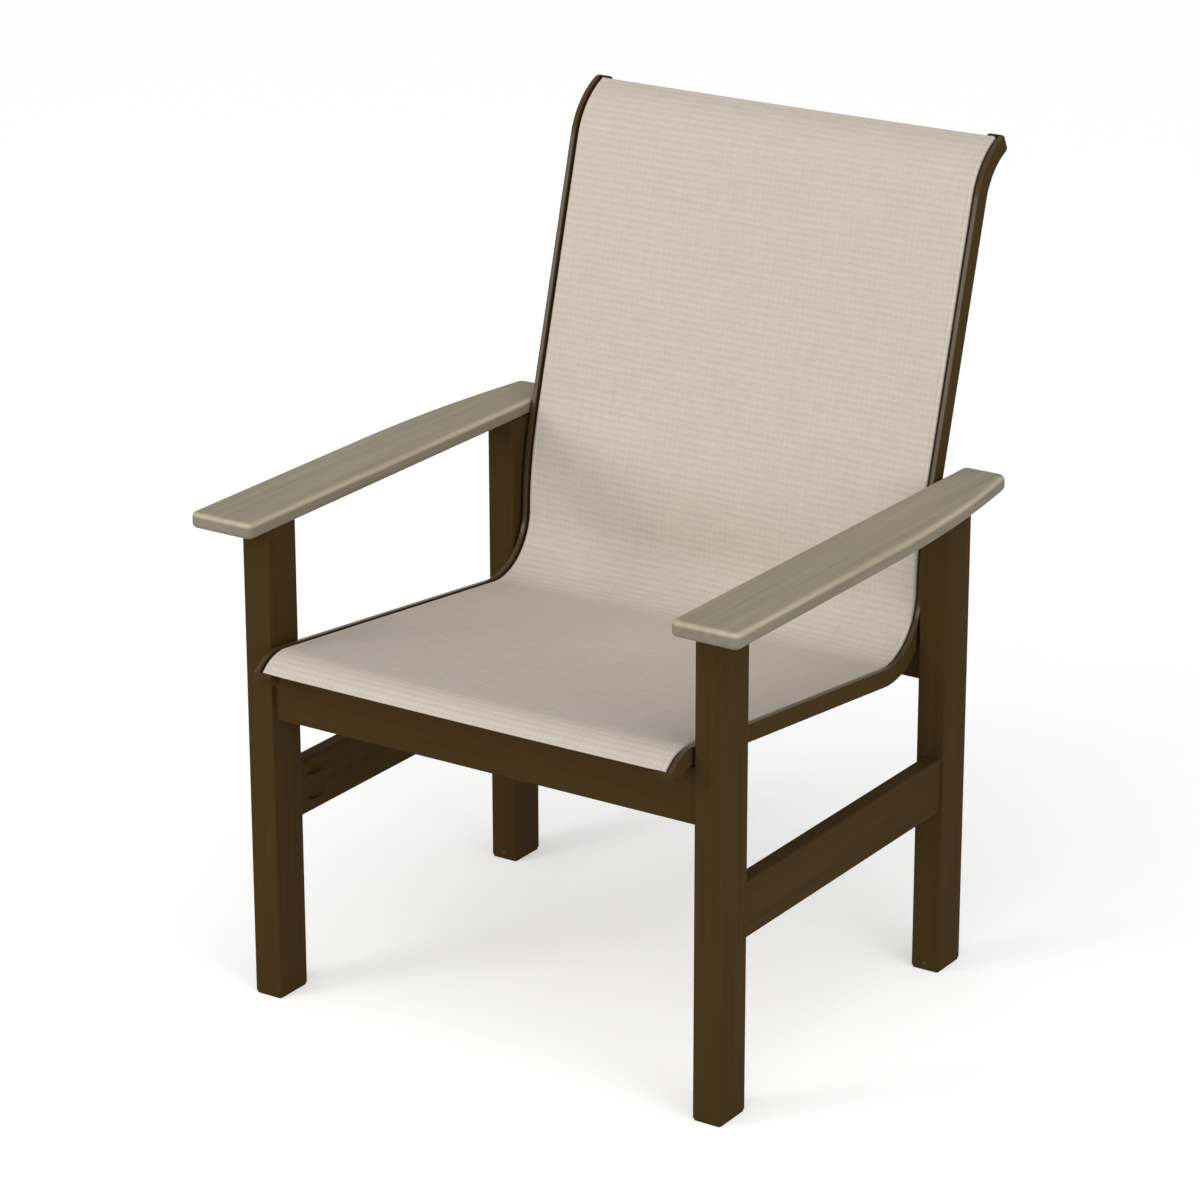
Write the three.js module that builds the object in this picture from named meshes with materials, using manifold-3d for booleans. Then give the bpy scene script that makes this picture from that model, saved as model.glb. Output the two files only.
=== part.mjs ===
import * as THREE from "three";
import { mergeVertices } from "three/addons/utils/BufferGeometryUtils.js";
import Module from "manifold-3d";

// A sling armchair for a porch: a dark frame of square-cut boards, two bent side rails with a
// woven sling stretched between them, and two flat armrests on top of the legs.
// Lengths are millimetres. X runs across the chair, the sitter faces -Y, and Z is up.
// Left is the left side seen from the front. Paired pieces are drawn on the left and mirrored.

const wasm = await Module();
wasm.setup();
const degree = Math.PI / 180;

// Legs
const legSpan = 635;
const legPlanDepth = 530.5;
const legWidth = 36;
const legDepth = 51.5;
const legRiseOverSeat = 138;
const legEdge = 2.5;

// Foot plugs under the legs, and the pins that hold them
const padHeight = 3;
const padInset = 1;
const spigotRadius = 6;
const spigotLength = 22;
const pinHeight = 9;
const pinRadius = 1.3;
const pinHeadRadius = 2.4;
const pinHeadHeight = 1.1;
const pinCrownShare = 0.6;
const pinRimShare = 0.8;
const pinLength = 24;

// Boards: the side stretchers, the front apron and the rear crossbar
const boardHeight = 66;
const boardThickness = 20;
const boardEdge = 2;
const stretcherBottom = 204;
const stretcherInset = 3.5;
const apronInset = 6;
const apronClearance = 0.5;
const crossbarInset = 6;
const crossbarClearance = 2.2;

// Pocket screws at the ends of the boards
const pocketAngle = 16 * degree;
const pocketRadius = 4.9;
const pocketReach = 44;
const pocketMargin = 17.5;
const screwRadius = 2;
const screwHeadRadius = 4.2;
const screwHeadHeight = 2.4;
const screwGrip = 18;
const screwPoint = 4;
const pocketFloor = 12;

// Side profile, measured along the front surface of the rails
const seatHeight = 435;
const seatInset = 7.25;
const seatFall = 6 * degree;
const noseRadius = 50;
const noseAngle = 49.5 * degree;
const bendRadius = 71;
const bendSetback = 13.9;
const bendAngle = 89 * degree;
const lumbarRadius = 442;
const backAngle = 74.6 * degree;
const backLength = 341.5;
const curlRadius = 91.5;
const curlAngle = 26.6 * degree;
const tailLength = 8.5;

// Side rails: a hollow section with a round channel for the edge of the sling
const railWidth = 22;
const railDepth = 21.5;
const railWall = 2;
const railCorner = 2.2;
const railGap = 4.5;
const seatRecess = 1.8;
const slotStart = 10.4;
const slotWidth = 5.6;
const lipRound = 0.8;
const channelRadius = 3.8;
const channelDepth = 6.8;
const channelFloor = 2;

// Sling and the splines in its edges
const slingThickness = 1.4;
const slingRest = 0.2;
const slingNoseInset = 1;
const slingTopInset = 2;
const slingTuckRadius = 2;
const splineRadius = 3.3;
const noseHollow = 3;
const seatHollow = 5;
const bendCrown = 3;
const backHollow = 4;
const topHollow = 1;

// Caps on the ends of the rails
const noseCapThickness = 5;
const topCapThickness = 4;
const capPlugLength = 8;

// Bolts that hold the rails to the legs, with a spacer on each
const boltRadius = 3;
const boltHeadRadius = 5.5;
const boltHeadHeight = 3.4;
const boltCrownShare = 0.55;
const boltRimShare = 0.35;
const boltGrip = 22;
const spacerRadius = 7;
const frontBoltSetback = 13;
const lowerBoltRise = 39;
const upperBoltDrop = 33;

// Spreader bar behind the head of the sling
const spreaderHeight = 25;
const spreaderThickness = 12;
const spreaderEdge = 4;
const spreaderDepth = 12.5;
const spreaderDrop = 15;
const tongueHeight = 15;
const tongueThickness = 7;
const tongueLength = 7;

// Armrests and the dowels under them
const armThickness = 19;
const armRound = 6;
const armCorner = 10;
const armFrontOverhang = 40.5;
const armRearOverhang = 46.5;
const armInnerOverhang = 7;
const armRailGap = 3.5;
const armOuterFront = 42;
const armOuterWidest = 43;
const armTailLength = 290;
const armTailRadius = 1735;
const dowelRadius = 5;
const dowelInLeg = 18;
const dowelInArm = 13;

// Clearance round a pin, screw or plug in its hole
const fitGap = 0.3;

// Corners closer than this are one corner
const weldDistance = 0.0003;

// Facets
const cornerSteps = 2;
const armCornerSteps = 4;
const channelSteps = 8;
const boltSides = 10;
const screwSides = 8;
const splineSides = 8;
const pocketSides = 16;

// Places that follow from the sizes above
const legTop = seatHeight + legRiseOverSeat;
const legInner = legSpan / 2 - legWidth;
const frontPlane = -legPlanDepth / 2;
const rearPlane = legPlanDepth / 2;
const frontLegBack = frontPlane + legDepth;
const rearLegFront = rearPlane - legDepth;
const railOuter = legInner - railGap;
const railInner = railOuter - railWidth;
const slotEnd = slotStart + slotWidth;
const channelBottom = channelDepth + channelRadius;
const boltDepth = (channelBottom + railDepth - railWall) / 2;
const armTop = legTop + armThickness;

// Turning a three.js geometry into a solid that can be cut, and back

function solidOf(geometry) {
  const bare = geometry.clone();
  bare.deleteAttribute("normal");
  bare.deleteAttribute("uv");
  const merged = mergeVertices(bare, weldDistance);
  return new wasm.Manifold(
    new wasm.Mesh({
      numProp: 3,
      vertProperties: merged.attributes.position.array,
      triVerts: new Uint32Array(merged.index.array),
    }),
  );
}

function geometryOf(solid) {
  const mesh = solid.getMesh();
  const geometry = new THREE.BufferGeometry();
  geometry.setAttribute("position", new THREE.BufferAttribute(mesh.vertProperties, mesh.numProp));
  geometry.setIndex(new THREE.BufferAttribute(mesh.triVerts, 1));
  const faceted = geometry.toNonIndexed();
  faceted.computeVertexNormals();
  return faceted;
}

function cutAll(solid, cutters) {
  return cutters.reduce((left, cutter) => left.subtract(cutter), solid);
}

// Finishes

const brown = { color: 0x43331b, roughness: 0.6, metalness: 0 };
const railBrown = { color: 0x45351e, roughness: 0.38, metalness: 0.2 };
const driftwood = { color: 0x9a907d, roughness: 0.7, metalness: 0 };
const weave = { color: 0xc7bcaf, roughness: 0.85, metalness: 0 };
const darkPlastic = { color: 0x43331d, roughness: 0.55, metalness: 0 };
const steel = { color: 0xa9a79f, roughness: 0.35, metalness: 0.9 };
const beech = { color: 0xb58e62, roughness: 0.8, metalness: 0 };

const chair = new THREE.Group();

function addPiece(name, solid, finish) {
  const piece = new THREE.Mesh(geometryOf(solid), new THREE.MeshStandardMaterial(finish));
  piece.name = name;
  chair.add(piece);
  return piece;
}

function addPair(stem, solid, finish, ending = "") {
  addPiece(stem + "_left" + ending, solid, finish);
  const right = addPiece(stem + "_right" + ending, solid, finish);
  right.scale.x = -1;
}

// Plain forms

function roundedRectangle(width, height, corner) {
  const shape = new THREE.Shape();
  const right = width / 2;
  const top = height / 2;
  shape.moveTo(-right + corner, -top);
  shape.lineTo(right - corner, -top);
  shape.quadraticCurveTo(right, -top, right, -top + corner);
  shape.lineTo(right, top - corner);
  shape.quadraticCurveTo(right, top, right - corner, top);
  shape.lineTo(-right + corner, top);
  shape.quadraticCurveTo(-right, top, -right, top - corner);
  shape.lineTo(-right, -top + corner);
  shape.quadraticCurveTo(-right, -top, -right + corner, -top);
  return shape;
}

function upright(width, depth, corner, bottom, top) {
  return new THREE.ExtrudeGeometry(roundedRectangle(width, depth, corner), {
    depth: top - bottom,
    bevelEnabled: false,
    curveSegments: cornerSteps,
  }).translate(0, 0, bottom);
}

// A board on edge along X, centred on the origin
function boardAlongX(length) {
  return upright(boardHeight, boardThickness, boardEdge, -length / 2, length / 2).rotateY(
    Math.PI / 2,
  );
}

// A turned form: pairs of radius and distance along an axis that starts at a point
function turned(pairs, sides, start, direction) {
  const points = pairs.map(([radius, along]) => new THREE.Vector2(radius, along));
  const turn = new THREE.Quaternion().setFromUnitVectors(
    new THREE.Vector3(0, 1, 0),
    direction.clone().normalize(),
  );
  const form = new THREE.LatheGeometry(points, sides);
  form.applyQuaternion(turn);
  form.translate(start.x, start.y, start.z);
  return solidOf(form);
}

function rod(radius, from, to, sides, start, direction) {
  const pairs = [
    [0, from],
    [radius, from],
    [radius, to],
    [0, to],
  ];
  return turned(pairs, sides, start, direction);
}

// Side profile: stops from the nose to the top, each with the angle at which the line runs

function arcStops(start, radius, endAngle, count) {
  const centreY = start.y - radius * Math.sin(start.angle);
  const centreZ = start.z + radius * Math.cos(start.angle);
  return Array.from({ length: count }, (_, i) => {
    const angle = start.angle + ((endAngle - start.angle) * (i + 1)) / count;
    const y = centreY + radius * Math.sin(angle);
    const z = centreZ - radius * Math.cos(angle);
    return { y, z, angle };
  });
}

function lineStops(start, length, count) {
  return Array.from({ length: count }, (_, i) => {
    const along = (length * (i + 1)) / count;
    const y = start.y + along * Math.cos(start.angle);
    const z = start.z + along * Math.sin(start.angle);
    return { y, z, angle: start.angle };
  });
}

// The seat's straight run starts over the front legs, and ends where the bend brings the line
// upright just behind the front faces of the rear legs.
const seatStart = { y: frontPlane + seatInset, z: seatHeight, angle: -seatFall };
const bendRun = bendRadius * (Math.sin(bendAngle) + Math.sin(seatFall));
const seatLength = (rearLegFront + bendSetback - bendRun - seatStart.y) / Math.cos(seatFall);

function sideProfile(seatSteps, backSteps) {
  const nose = arcStops(seatStart, -noseRadius, noseAngle, 6).reverse();
  const seat = lineStops(seatStart, seatLength, seatSteps);
  const bend = arcStops(seat.at(-1), bendRadius, bendAngle, 8);
  const lumbar = arcStops(bend.at(-1), -lumbarRadius, backAngle, 3);
  const back = lineStops(lumbar.at(-1), backLength, backSteps);
  const curl = arcStops(back.at(-1), -curlRadius, curlAngle, 5);
  const tail = lineStops(curl.at(-1), tailLength, 1);
  return [...nose, seatStart, ...seat, ...bend, ...lumbar, ...back, ...curl, ...tail];
}

const railStops = sideProfile(1, 1);

function runLengths(stops) {
  const runs = [0];
  for (let i = 1; i < stops.length; i += 1) {
    const step = Math.hypot(stops[i].y - stops[i - 1].y, stops[i].z - stops[i - 1].z);
    runs.push(runs[i - 1] + step);
  }
  return runs;
}

function between(a, b, share) {
  return {
    y: a.y + (b.y - a.y) * share,
    z: a.z + (b.z - a.z) * share,
    angle: a.angle + (b.angle - a.angle) * share,
  };
}

// The stretch of the profile between two distances from its nose end
function stretch(stops, from, to) {
  const runs = runLengths(stops);
  const at = (distance) => {
    const next = Math.max(1, runs.findIndex((run) => run >= distance));
    const share = (distance - runs[next - 1]) / (runs[next] - runs[next - 1]);
    return between(stops[next - 1], stops[next], share);
  };
  const inside = stops.filter((_, i) => runs[i] > from && runs[i] < to);
  return [at(from), ...inside, at(to)];
}

function stopAtHeight(height) {
  const bendEnd = railStops.findIndex((stop) => stop.angle >= bendAngle);
  const next = railStops.findIndex((stop, i) => i > bendEnd && stop.z >= height);
  const before = railStops[next - 1];
  return between(before, railStops[next], (height - before.z) / (railStops[next].z - before.z));
}

// A point a given depth behind the front surface
function behind(stop, depth, x) {
  const y = stop.y + depth * Math.sin(stop.angle);
  const z = stop.z - depth * Math.cos(stop.angle);
  return new THREE.Vector3(x, y, z);
}

// Lets ExtrudeGeometry place one section on each stop
class StopCurve extends THREE.Curve {
  constructor(stops) {
    super();
    this.stops = stops;
  }

  stopAt(share) {
    return this.stops[Math.round(share * (this.stops.length - 1))];
  }

  getPointAt(share, target = new THREE.Vector3()) {
    const stop = this.stopAt(share);
    return target.set(0, stop.y, stop.z);
  }

  getTangentAt(share, target = new THREE.Vector3()) {
    const stop = this.stopAt(share);
    return target.set(0, Math.cos(stop.angle), Math.sin(stop.angle));
  }
}

// A section drawn with x as the distance from the middle of the chair and y as the height over
// the front surface, carried along the stops on the left side of the chair
function sweep(shape, stops) {
  return solidOf(
    new THREE.ExtrudeGeometry(shape, {
      steps: stops.length - 1,
      bevelEnabled: false,
      curveSegments: cornerSteps,
      extrudePath: new StopCurve(stops),
    }),
  );
}

// Section of a side rail

function channelPoint(angle) {
  const x = railInner + slotStart + slotWidth / 2 + channelRadius * Math.sin(angle);
  const y = -channelDepth + channelRadius * Math.cos(angle);
  return [x, y];
}

function railSection() {
  const shape = new THREE.Shape();
  const inner = railInner;
  const outer = railInner + railWidth;
  const slotIn = railInner + slotStart;
  const slotOut = railInner + slotEnd;
  const mouth = Math.asin(slotWidth / 2 / channelRadius);
  shape.moveTo(inner, -railDepth + railCorner);
  shape.quadraticCurveTo(inner, -railDepth, inner + railCorner, -railDepth);
  shape.lineTo(outer - railCorner, -railDepth);
  shape.quadraticCurveTo(outer, -railDepth, outer, -railDepth + railCorner);
  shape.lineTo(outer, -railCorner);
  shape.quadraticCurveTo(outer, 0, outer - railCorner, 0);
  shape.lineTo(slotOut + lipRound, 0);
  shape.quadraticCurveTo(slotOut, 0, slotOut, -lipRound);
  for (let i = 0; i <= channelSteps; i += 1) {
    const angle = mouth + ((2 * Math.PI - 2 * mouth) * i) / channelSteps;
    shape.lineTo(...channelPoint(angle));
  }
  shape.lineTo(slotIn, -seatRecess - lipRound);
  shape.quadraticCurveTo(slotIn, -seatRecess, slotIn - lipRound, -seatRecess);
  shape.lineTo(inner + railCorner, -seatRecess);
  shape.quadraticCurveTo(inner, -seatRecess, inner, -seatRecess - railCorner);
  shape.closePath();
  return shape;
}

// The hollow beside and behind the channel, shrunk by a gap where a plug fits in it
function chamberPath(shape, gap) {
  const left = railInner + railWall + gap;
  const right = railInner + railWidth - railWall - gap;
  const step = railInner + slotStart + slotWidth / 2 - channelRadius - railWall - gap;
  const bottom = -railDepth + railWall + gap;
  const shoulder = -channelBottom - channelFloor - gap;
  const top = -seatRecess - railWall - gap;
  shape.moveTo(left, bottom);
  shape.lineTo(right, bottom);
  shape.lineTo(right, shoulder);
  shape.lineTo(step, shoulder);
  shape.lineTo(step, top);
  shape.lineTo(left, top);
  shape.closePath();
  return shape;
}

// Rail bolts: along X, from the inner face of the rail through a spacer into the leg

const apronBack = frontPlane + apronInset + boardThickness;
const crossbarFront = rearPlane - crossbarInset - boardThickness;
const bendCentre = {
  y: rearLegFront + bendSetback - bendRadius * Math.sin(bendAngle),
  z: seatStart.z - seatLength * Math.sin(seatFall) + bendRadius * Math.cos(seatFall),
};
const crossbarReach = bendRadius + railDepth + crossbarClearance;
const crossbarAside = Math.min(crossbarFront - bendCentre.y, crossbarReach);
const crossbarTop = bendCentre.z - Math.sqrt(crossbarReach ** 2 - crossbarAside ** 2);

function seatStopAt(y) {
  const along = (y - seatStart.y) / Math.cos(seatFall);
  return lineStops(seatStart, along, 1)[0];
}

const apronTop = behind(seatStopAt(apronBack), railDepth, 0).z - apronClearance;
const boltStops = {
  front: seatStopAt(apronBack + frontBoltSetback),
  lower: stopAtHeight(crossbarTop + lowerBoltRise),
  upper: stopAtHeight(legTop - upperBoltDrop),
};
const towardsLeft = new THREE.Vector3(-1, 0, 0);

function boltStart(place) {
  return behind(boltStops[place], boltDepth, -railInner);
}

function boltHole(place) {
  const reach = railWidth + railGap + boltGrip;
  return rod(boltRadius + fitGap, -fitGap, reach, boltSides, boltStart(place), towardsLeft);
}

function railBolt(place) {
  const tip = railWidth + railGap + boltGrip - fitGap;
  const pairs = [
    [0, -boltHeadHeight],
    [boltHeadRadius * boltCrownShare, -boltHeadHeight],
    [boltHeadRadius, -boltHeadHeight * boltRimShare],
    [boltHeadRadius, 0],
    [boltRadius, 0],
    [boltRadius, tip],
    [0, tip],
  ];
  return turned(pairs, boltSides, boltStart(place), towardsLeft);
}

function railSpacer(place) {
  const pairs = [
    [boltRadius + fitGap, railWidth],
    [spacerRadius, railWidth],
    [spacerRadius, railWidth + railGap],
    [boltRadius + fitGap, railWidth + railGap],
    [boltRadius + fitGap, railWidth],
  ];
  return turned(pairs, boltSides, boltStart(place), towardsLeft);
}

// Spreader bar: it stands between the rails, with a tongue through the inner wall of each

const railLength = runLengths(railStops).at(-1);
const spreaderRun = railLength - tailLength - curlRadius * (backAngle - curlAngle) - spreaderDrop;
const spreaderStop = stretch(railStops, spreaderRun, railLength)[0];

function acrossBar(height, thickness, edge, halfLength) {
  const form = upright(thickness, height, edge, -halfLength, halfLength);
  const place = behind(spreaderStop, spreaderDepth, 0);
  form.rotateY(Math.PI / 2);
  form.rotateX(Math.PI / 2);
  form.rotateX(spreaderStop.angle - Math.PI / 2);
  return solidOf(form.translate(place.x, place.y, place.z));
}

function spreaderBar() {
  const bar = acrossBar(spreaderHeight, spreaderThickness, spreaderEdge, railInner);
  const tongues = acrossBar(tongueHeight, tongueThickness, 0, railInner + tongueLength);
  return bar.add(tongues);
}

function spreaderSlot() {
  return acrossBar(
    tongueHeight + 2 * fitGap,
    tongueThickness + 2 * fitGap,
    0,
    railInner + tongueLength + fitGap,
  );
}

// Side rails and their caps

function sideRail() {
  const section = railSection();
  section.holes.push(chamberPath(new THREE.Path(), 0));
  const rail = sweep(section, railStops);
  return cutAll(rail, [...Object.keys(boltStops).map(boltHole), spreaderSlot()]);
}

function capFlange() {
  const middle = new THREE.Vector2(railInner + railWidth / 2, -railDepth / 2);
  const outline = roundedRectangle(railWidth, railDepth, railCorner).getPoints(cornerSteps);
  return new THREE.Shape(outline.map((point) => point.clone().add(middle)));
}

// A cap covers one end of a rail, and its plug starts inside the flange and runs into the hollow
function railCap(flangeStops, plugStops) {
  return sweep(capFlange(), flangeStops).add(
    sweep(chamberPath(new THREE.Shape(), fitGap), plugStops),
  );
}

function noseCap() {
  const end = railStops[0];
  const [middle, outside] = lineStops(end, -noseCapThickness, 2);
  return railCap([outside, end], [middle, ...stretch(railStops, 0, capPlugLength)]);
}

function topCap() {
  const end = railStops.at(-1);
  const [middle, outside] = lineStops(end, topCapThickness, 2);
  const plugStops = stretch(railStops, railLength - capPlugLength, railLength);
  return railCap([end, outside], [...plugStops, middle]);
}

addPair("side_rail", sideRail(), railBrown);
addPair("rail_cap", noseCap(), darkPlastic, "_front");
addPair("rail_cap", topCap(), darkPlastic, "_top");
addPiece("spreader_bar", spreaderBar(), railBrown);
Object.keys(boltStops).forEach((place) => {
  addPair("rail_bolt", railBolt(place), steel, "_" + place);
  addPair("rail_spacer", railSpacer(place), darkPlastic, "_" + place);
});

// Sling: one sheet on the fronts of the rails, tucked into their slots. It is drawn in by the
// pull across it where the rails curve outwards, and stands proud where they curve inwards.

const slingStops = stretch(sideProfile(5, 4), slingNoseInset, railLength - slingTopInset);
const hollowShares = [0, 0.23, 0.465, 0.72, 1];
const hollowDepths = [noseHollow, seatHollow, -bendCrown, backHollow, topHollow];
const acrossShares = [0, 0.35, 0.68, 0.9, 1];
const slingMiddle = seatRecess - slingRest - slingThickness / 2;

function hollowAt(share) {
  const next = Math.max(1, hollowShares.findIndex((stop) => stop >= share));
  const from = hollowShares[next - 1];
  const blend = (1 - Math.cos((Math.PI * (share - from)) / (hollowShares[next] - from))) / 2;
  return hollowDepths[next - 1] + (hollowDepths[next] - hollowDepths[next - 1]) * blend;
}

// Half of the sheet's middle line across the chair: out to the slot, round the slot's inner lip
// and down to the spline
function acrossLine(hollow) {
  const span = acrossShares.map((share) => [
    railInner * share,
    slingMiddle + hollow * (1 - share ** 2),
  ]);
  const centreX = railInner + slotStart + slingThickness - slingTuckRadius;
  const bend = Array.from({ length: cornerSteps + 1 }, (_, i) => {
    const angle = (Math.PI / 2) * (i / cornerSteps);
    const x = centreX + slingTuckRadius * Math.sin(angle);
    return [x, slingMiddle + slingTuckRadius * (1 - Math.cos(angle))];
  });
  return [...span, ...bend, [bend.at(-1)[0], channelDepth - splineRadius - fitGap]];
}

// Offsets a line of points by a distance along its own normals
function offsetLine(line, distance) {
  return line.map(([x, depth], i) => {
    const before = line[Math.max(0, i - 1)];
    const after = line[Math.min(line.length - 1, i + 1)];
    const run = Math.hypot(after[0] - before[0], after[1] - before[1]);
    const sideX = (after[1] - before[1]) / run;
    const sideDepth = -(after[0] - before[0]) / run;
    return [x + sideX * distance, depth + sideDepth * distance];
  });
}

function slingSheet() {
  const runs = runLengths(slingStops);
  const rows = slingStops.map((stop, i) => {
    const half = acrossLine(hollowAt(runs[i] / runs.at(-1)));
    const mirrored = half.slice(1).reverse().map(([x, depth]) => [-x, depth]);
    const line = [...mirrored, ...half];
    const place = ([x, depth]) => behind(stop, depth, x);
    const front = offsetLine(line, slingThickness / 2).map(place);
    const back = offsetLine(line, -slingThickness / 2).map(place);
    return [...front, ...back.reverse()];
  });
  const around = rows[0].length;
  const positions = rows.flat().flatMap((point) => point.toArray());
  const index = [];
  for (let row = 0; row < rows.length - 1; row += 1) {
    for (let i = 0; i < around; i += 1) {
      const a = row * around + i;
      const b = row * around + ((i + 1) % around);
      index.push(a, b, b + around, a, b + around, a + around);
    }
  }
  const across = around / 2;
  const last = (rows.length - 1) * around;
  for (let i = 0; i < across - 1; i += 1) {
    const frontA = i;
    const frontB = i + 1;
    const backA = around - 1 - i;
    const backB = around - 2 - i;
    index.push(frontA, backB, frontB, frontA, backA, backB);
    index.push(last + frontA, last + frontB, last + backB, last + frontA, last + backB, last + backA);
  }
  const sheet = new THREE.BufferGeometry();
  sheet.setAttribute("position", new THREE.BufferAttribute(new Float32Array(positions), 3));
  sheet.setIndex(index);
  return solidOf(sheet);
}

function splineSection() {
  const [x, y] = [railInner + slotStart + slotWidth / 2, -channelDepth];
  const corners = Array.from({ length: splineSides }, (_, i) => {
    const angle = (2 * Math.PI * i) / splineSides;
    return new THREE.Vector2(x + splineRadius * Math.cos(angle), y + splineRadius * Math.sin(angle));
  });
  return new THREE.Shape(corners);
}

const splineStops = stretch(railStops, slingNoseInset, railLength - slingTopInset);
addPiece("sling", slingSheet(), weave);
addPair("sling_spline", sweep(splineSection(), splineStops), darkPlastic);

// Pocket screws. A screw leaves the board through its end and runs on into the leg: the aim is
// the point where it crosses that end, and it leans from the board's hidden face.

const pocketAim = pocketReach * Math.tan(pocketAngle);

function pocket(aim, away) {
  return rod(pocketRadius, pocketFloor, pocketReach * 2, pocketSides, aim, away);
}

function screwHole(aim, away) {
  return rod(screwRadius + fitGap, -screwGrip - fitGap, pocketFloor + fitGap, screwSides, aim, away);
}

function pocketScrew(aim, away) {
  const seat = pocketFloor + fitGap;
  const pairs = [
    [0, -screwGrip],
    [screwRadius, -screwGrip + screwPoint],
    [screwRadius, seat],
    [screwHeadRadius, seat],
    [screwHeadRadius, seat + screwHeadHeight],
    [0, seat + screwHeadHeight],
  ];
  return turned(pairs, screwSides, aim, away);
}

const rowHeights = { lower: pocketMargin, upper: boardHeight - pocketMargin };

// Screws of a side stretcher lean in the direction of the chair's middle
const stretcherFace = legSpan / 2 - stretcherInset - boardThickness;

function stretcherScrew(end, row) {
  const side = end === "front" ? 1 : -1;
  const y = end === "front" ? frontLegBack : rearLegFront;
  const aim = new THREE.Vector3(-stretcherFace - pocketAim, y, stretcherBottom + rowHeights[row]);
  const away = new THREE.Vector3(Math.sin(pocketAngle), side * Math.cos(pocketAngle), 0);
  return { aim, away };
}

// Screws of the apron and of the crossbar lean in the direction of the space under the seat
function railEndScrew(face, side, bottom, row) {
  const aim = new THREE.Vector3(-legInner, face - side * pocketAim, bottom + rowHeights[row]);
  const away = new THREE.Vector3(Math.cos(pocketAngle), side * Math.sin(pocketAngle), 0);
  return { aim, away };
}

const rowNames = Object.keys(rowHeights);
const apronBottom = apronTop - boardHeight;
const crossbarBottom = crossbarTop - boardHeight;
const stretcherScrews = ["front", "rear"].flatMap((end) =>
  rowNames.map((row) => ({ end, row, ...stretcherScrew(end, row) })),
);
const apronScrews = rowNames.map((row) => ({ row, ...railEndScrew(apronBack, 1, apronBottom, row) }));
const crossbarScrews = rowNames.map((row) => ({
  row,
  ...railEndScrew(crossbarFront, -1, crossbarBottom, row),
}));

function cuttersOf(screws) {
  return screws.flatMap(({ aim, away }) => [pocket(aim, away), screwHole(aim, away)]);
}

function mirroredScrews(screws) {
  const flip = new THREE.Vector3(-1, 1, 1);
  return screws.map(({ aim, away }) => ({
    aim: aim.clone().multiply(flip),
    away: away.clone().multiply(flip),
  }));
}

// Boards

function sideStretcher() {
  const board = boardAlongX(rearLegFront - frontLegBack);
  board.rotateZ(Math.PI / 2);
  board.translate(-stretcherFace - boardThickness / 2, 0, stretcherBottom + boardHeight / 2);
  return cutAll(solidOf(board), cuttersOf(stretcherScrews));
}

function crossBoard(middleY, bottom, screws) {
  const board = boardAlongX(2 * legInner);
  board.translate(0, middleY, bottom + boardHeight / 2);
  return cutAll(solidOf(board), cuttersOf([...screws, ...mirroredScrews(screws)]));
}

addPair("side_stretcher", sideStretcher(), brown);
addPiece("front_apron", crossBoard(apronBack - boardThickness / 2, apronBottom, apronScrews), brown);
addPiece(
  "rear_crossbar",
  crossBoard(crossbarFront + boardThickness / 2, crossbarBottom, crossbarScrews),
  brown,
);
stretcherScrews.forEach(({ end, row, aim, away }) => {
  addPair("stretcher_screw", pocketScrew(aim, away), steel, "_" + end + "_" + row);
});
apronScrews.forEach(({ row, aim, away }) => {
  addPair("apron_screw", pocketScrew(aim, away), steel, "_" + row);
});
crossbarScrews.forEach(({ row, aim, away }) => {
  addPair("crossbar_screw", pocketScrew(aim, away), steel, "_" + row);
});

// Legs, their foot plugs and pins, and the dowels on top

const legMiddleX = -legSpan / 2 + legWidth / 2;
const up = new THREE.Vector3(0, 0, 1);
const legEnds = {
  front: { middle: frontPlane + legDepth / 2, inside: 1, bolts: ["front"], screws: apronScrews },
  rear: {
    middle: rearPlane - legDepth / 2,
    inside: -1,
    bolts: ["lower", "upper"],
    screws: crossbarScrews,
  },
};

function legFoot(end) {
  return new THREE.Vector3(legMiddleX, legEnds[end].middle, 0);
}

function pinStart(end) {
  const y = legEnds[end].middle + (legEnds[end].inside * legDepth) / 2;
  return new THREE.Vector3(legMiddleX, y, pinHeight);
}

function pinDirection(end) {
  return new THREE.Vector3(0, -legEnds[end].inside, 0);
}

function pinHole(end) {
  return rod(pinRadius + fitGap, -fitGap, pinLength + fitGap, screwSides, pinStart(end), pinDirection(end));
}

function leg(end) {
  const { middle, bolts, screws } = legEnds[end];
  const post = upright(legWidth, legDepth, legEdge, padHeight, legTop);
  post.translate(legMiddleX, middle, 0);
  const ownStretcherScrews = stretcherScrews.filter((screw) => screw.end === end);
  const foot = legFoot(end);
  return cutAll(solidOf(post), [
    ...bolts.map(boltHole),
    ...[...screws, ...ownStretcherScrews].map(({ aim, away }) => screwHole(aim, away)),
    rod(spigotRadius + fitGap, 0, padHeight + spigotLength + fitGap, boltSides, foot, up),
    rod(dowelRadius + fitGap, legTop - dowelInLeg - fitGap, armTop, boltSides, foot, up),
    pinHole(end),
  ]);
}

function footPlug(end) {
  const pad = upright(legWidth - 2 * padInset, legDepth - 2 * padInset, legEdge, 0, padHeight);
  pad.translate(legMiddleX, legEnds[end].middle, 0);
  const spigot = rod(spigotRadius, 0, padHeight + spigotLength, boltSides, legFoot(end), up);
  return solidOf(pad).add(spigot).subtract(pinHole(end));
}

function footPin(end) {
  const pairs = [
    [0, -pinHeadHeight],
    [pinHeadRadius * pinCrownShare, -pinHeadHeight * pinRimShare],
    [pinHeadRadius, 0],
    [pinRadius, 0],
    [pinRadius, pinLength],
    [0, pinLength],
  ];
  return turned(pairs, screwSides, pinStart(end), pinDirection(end));
}

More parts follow.
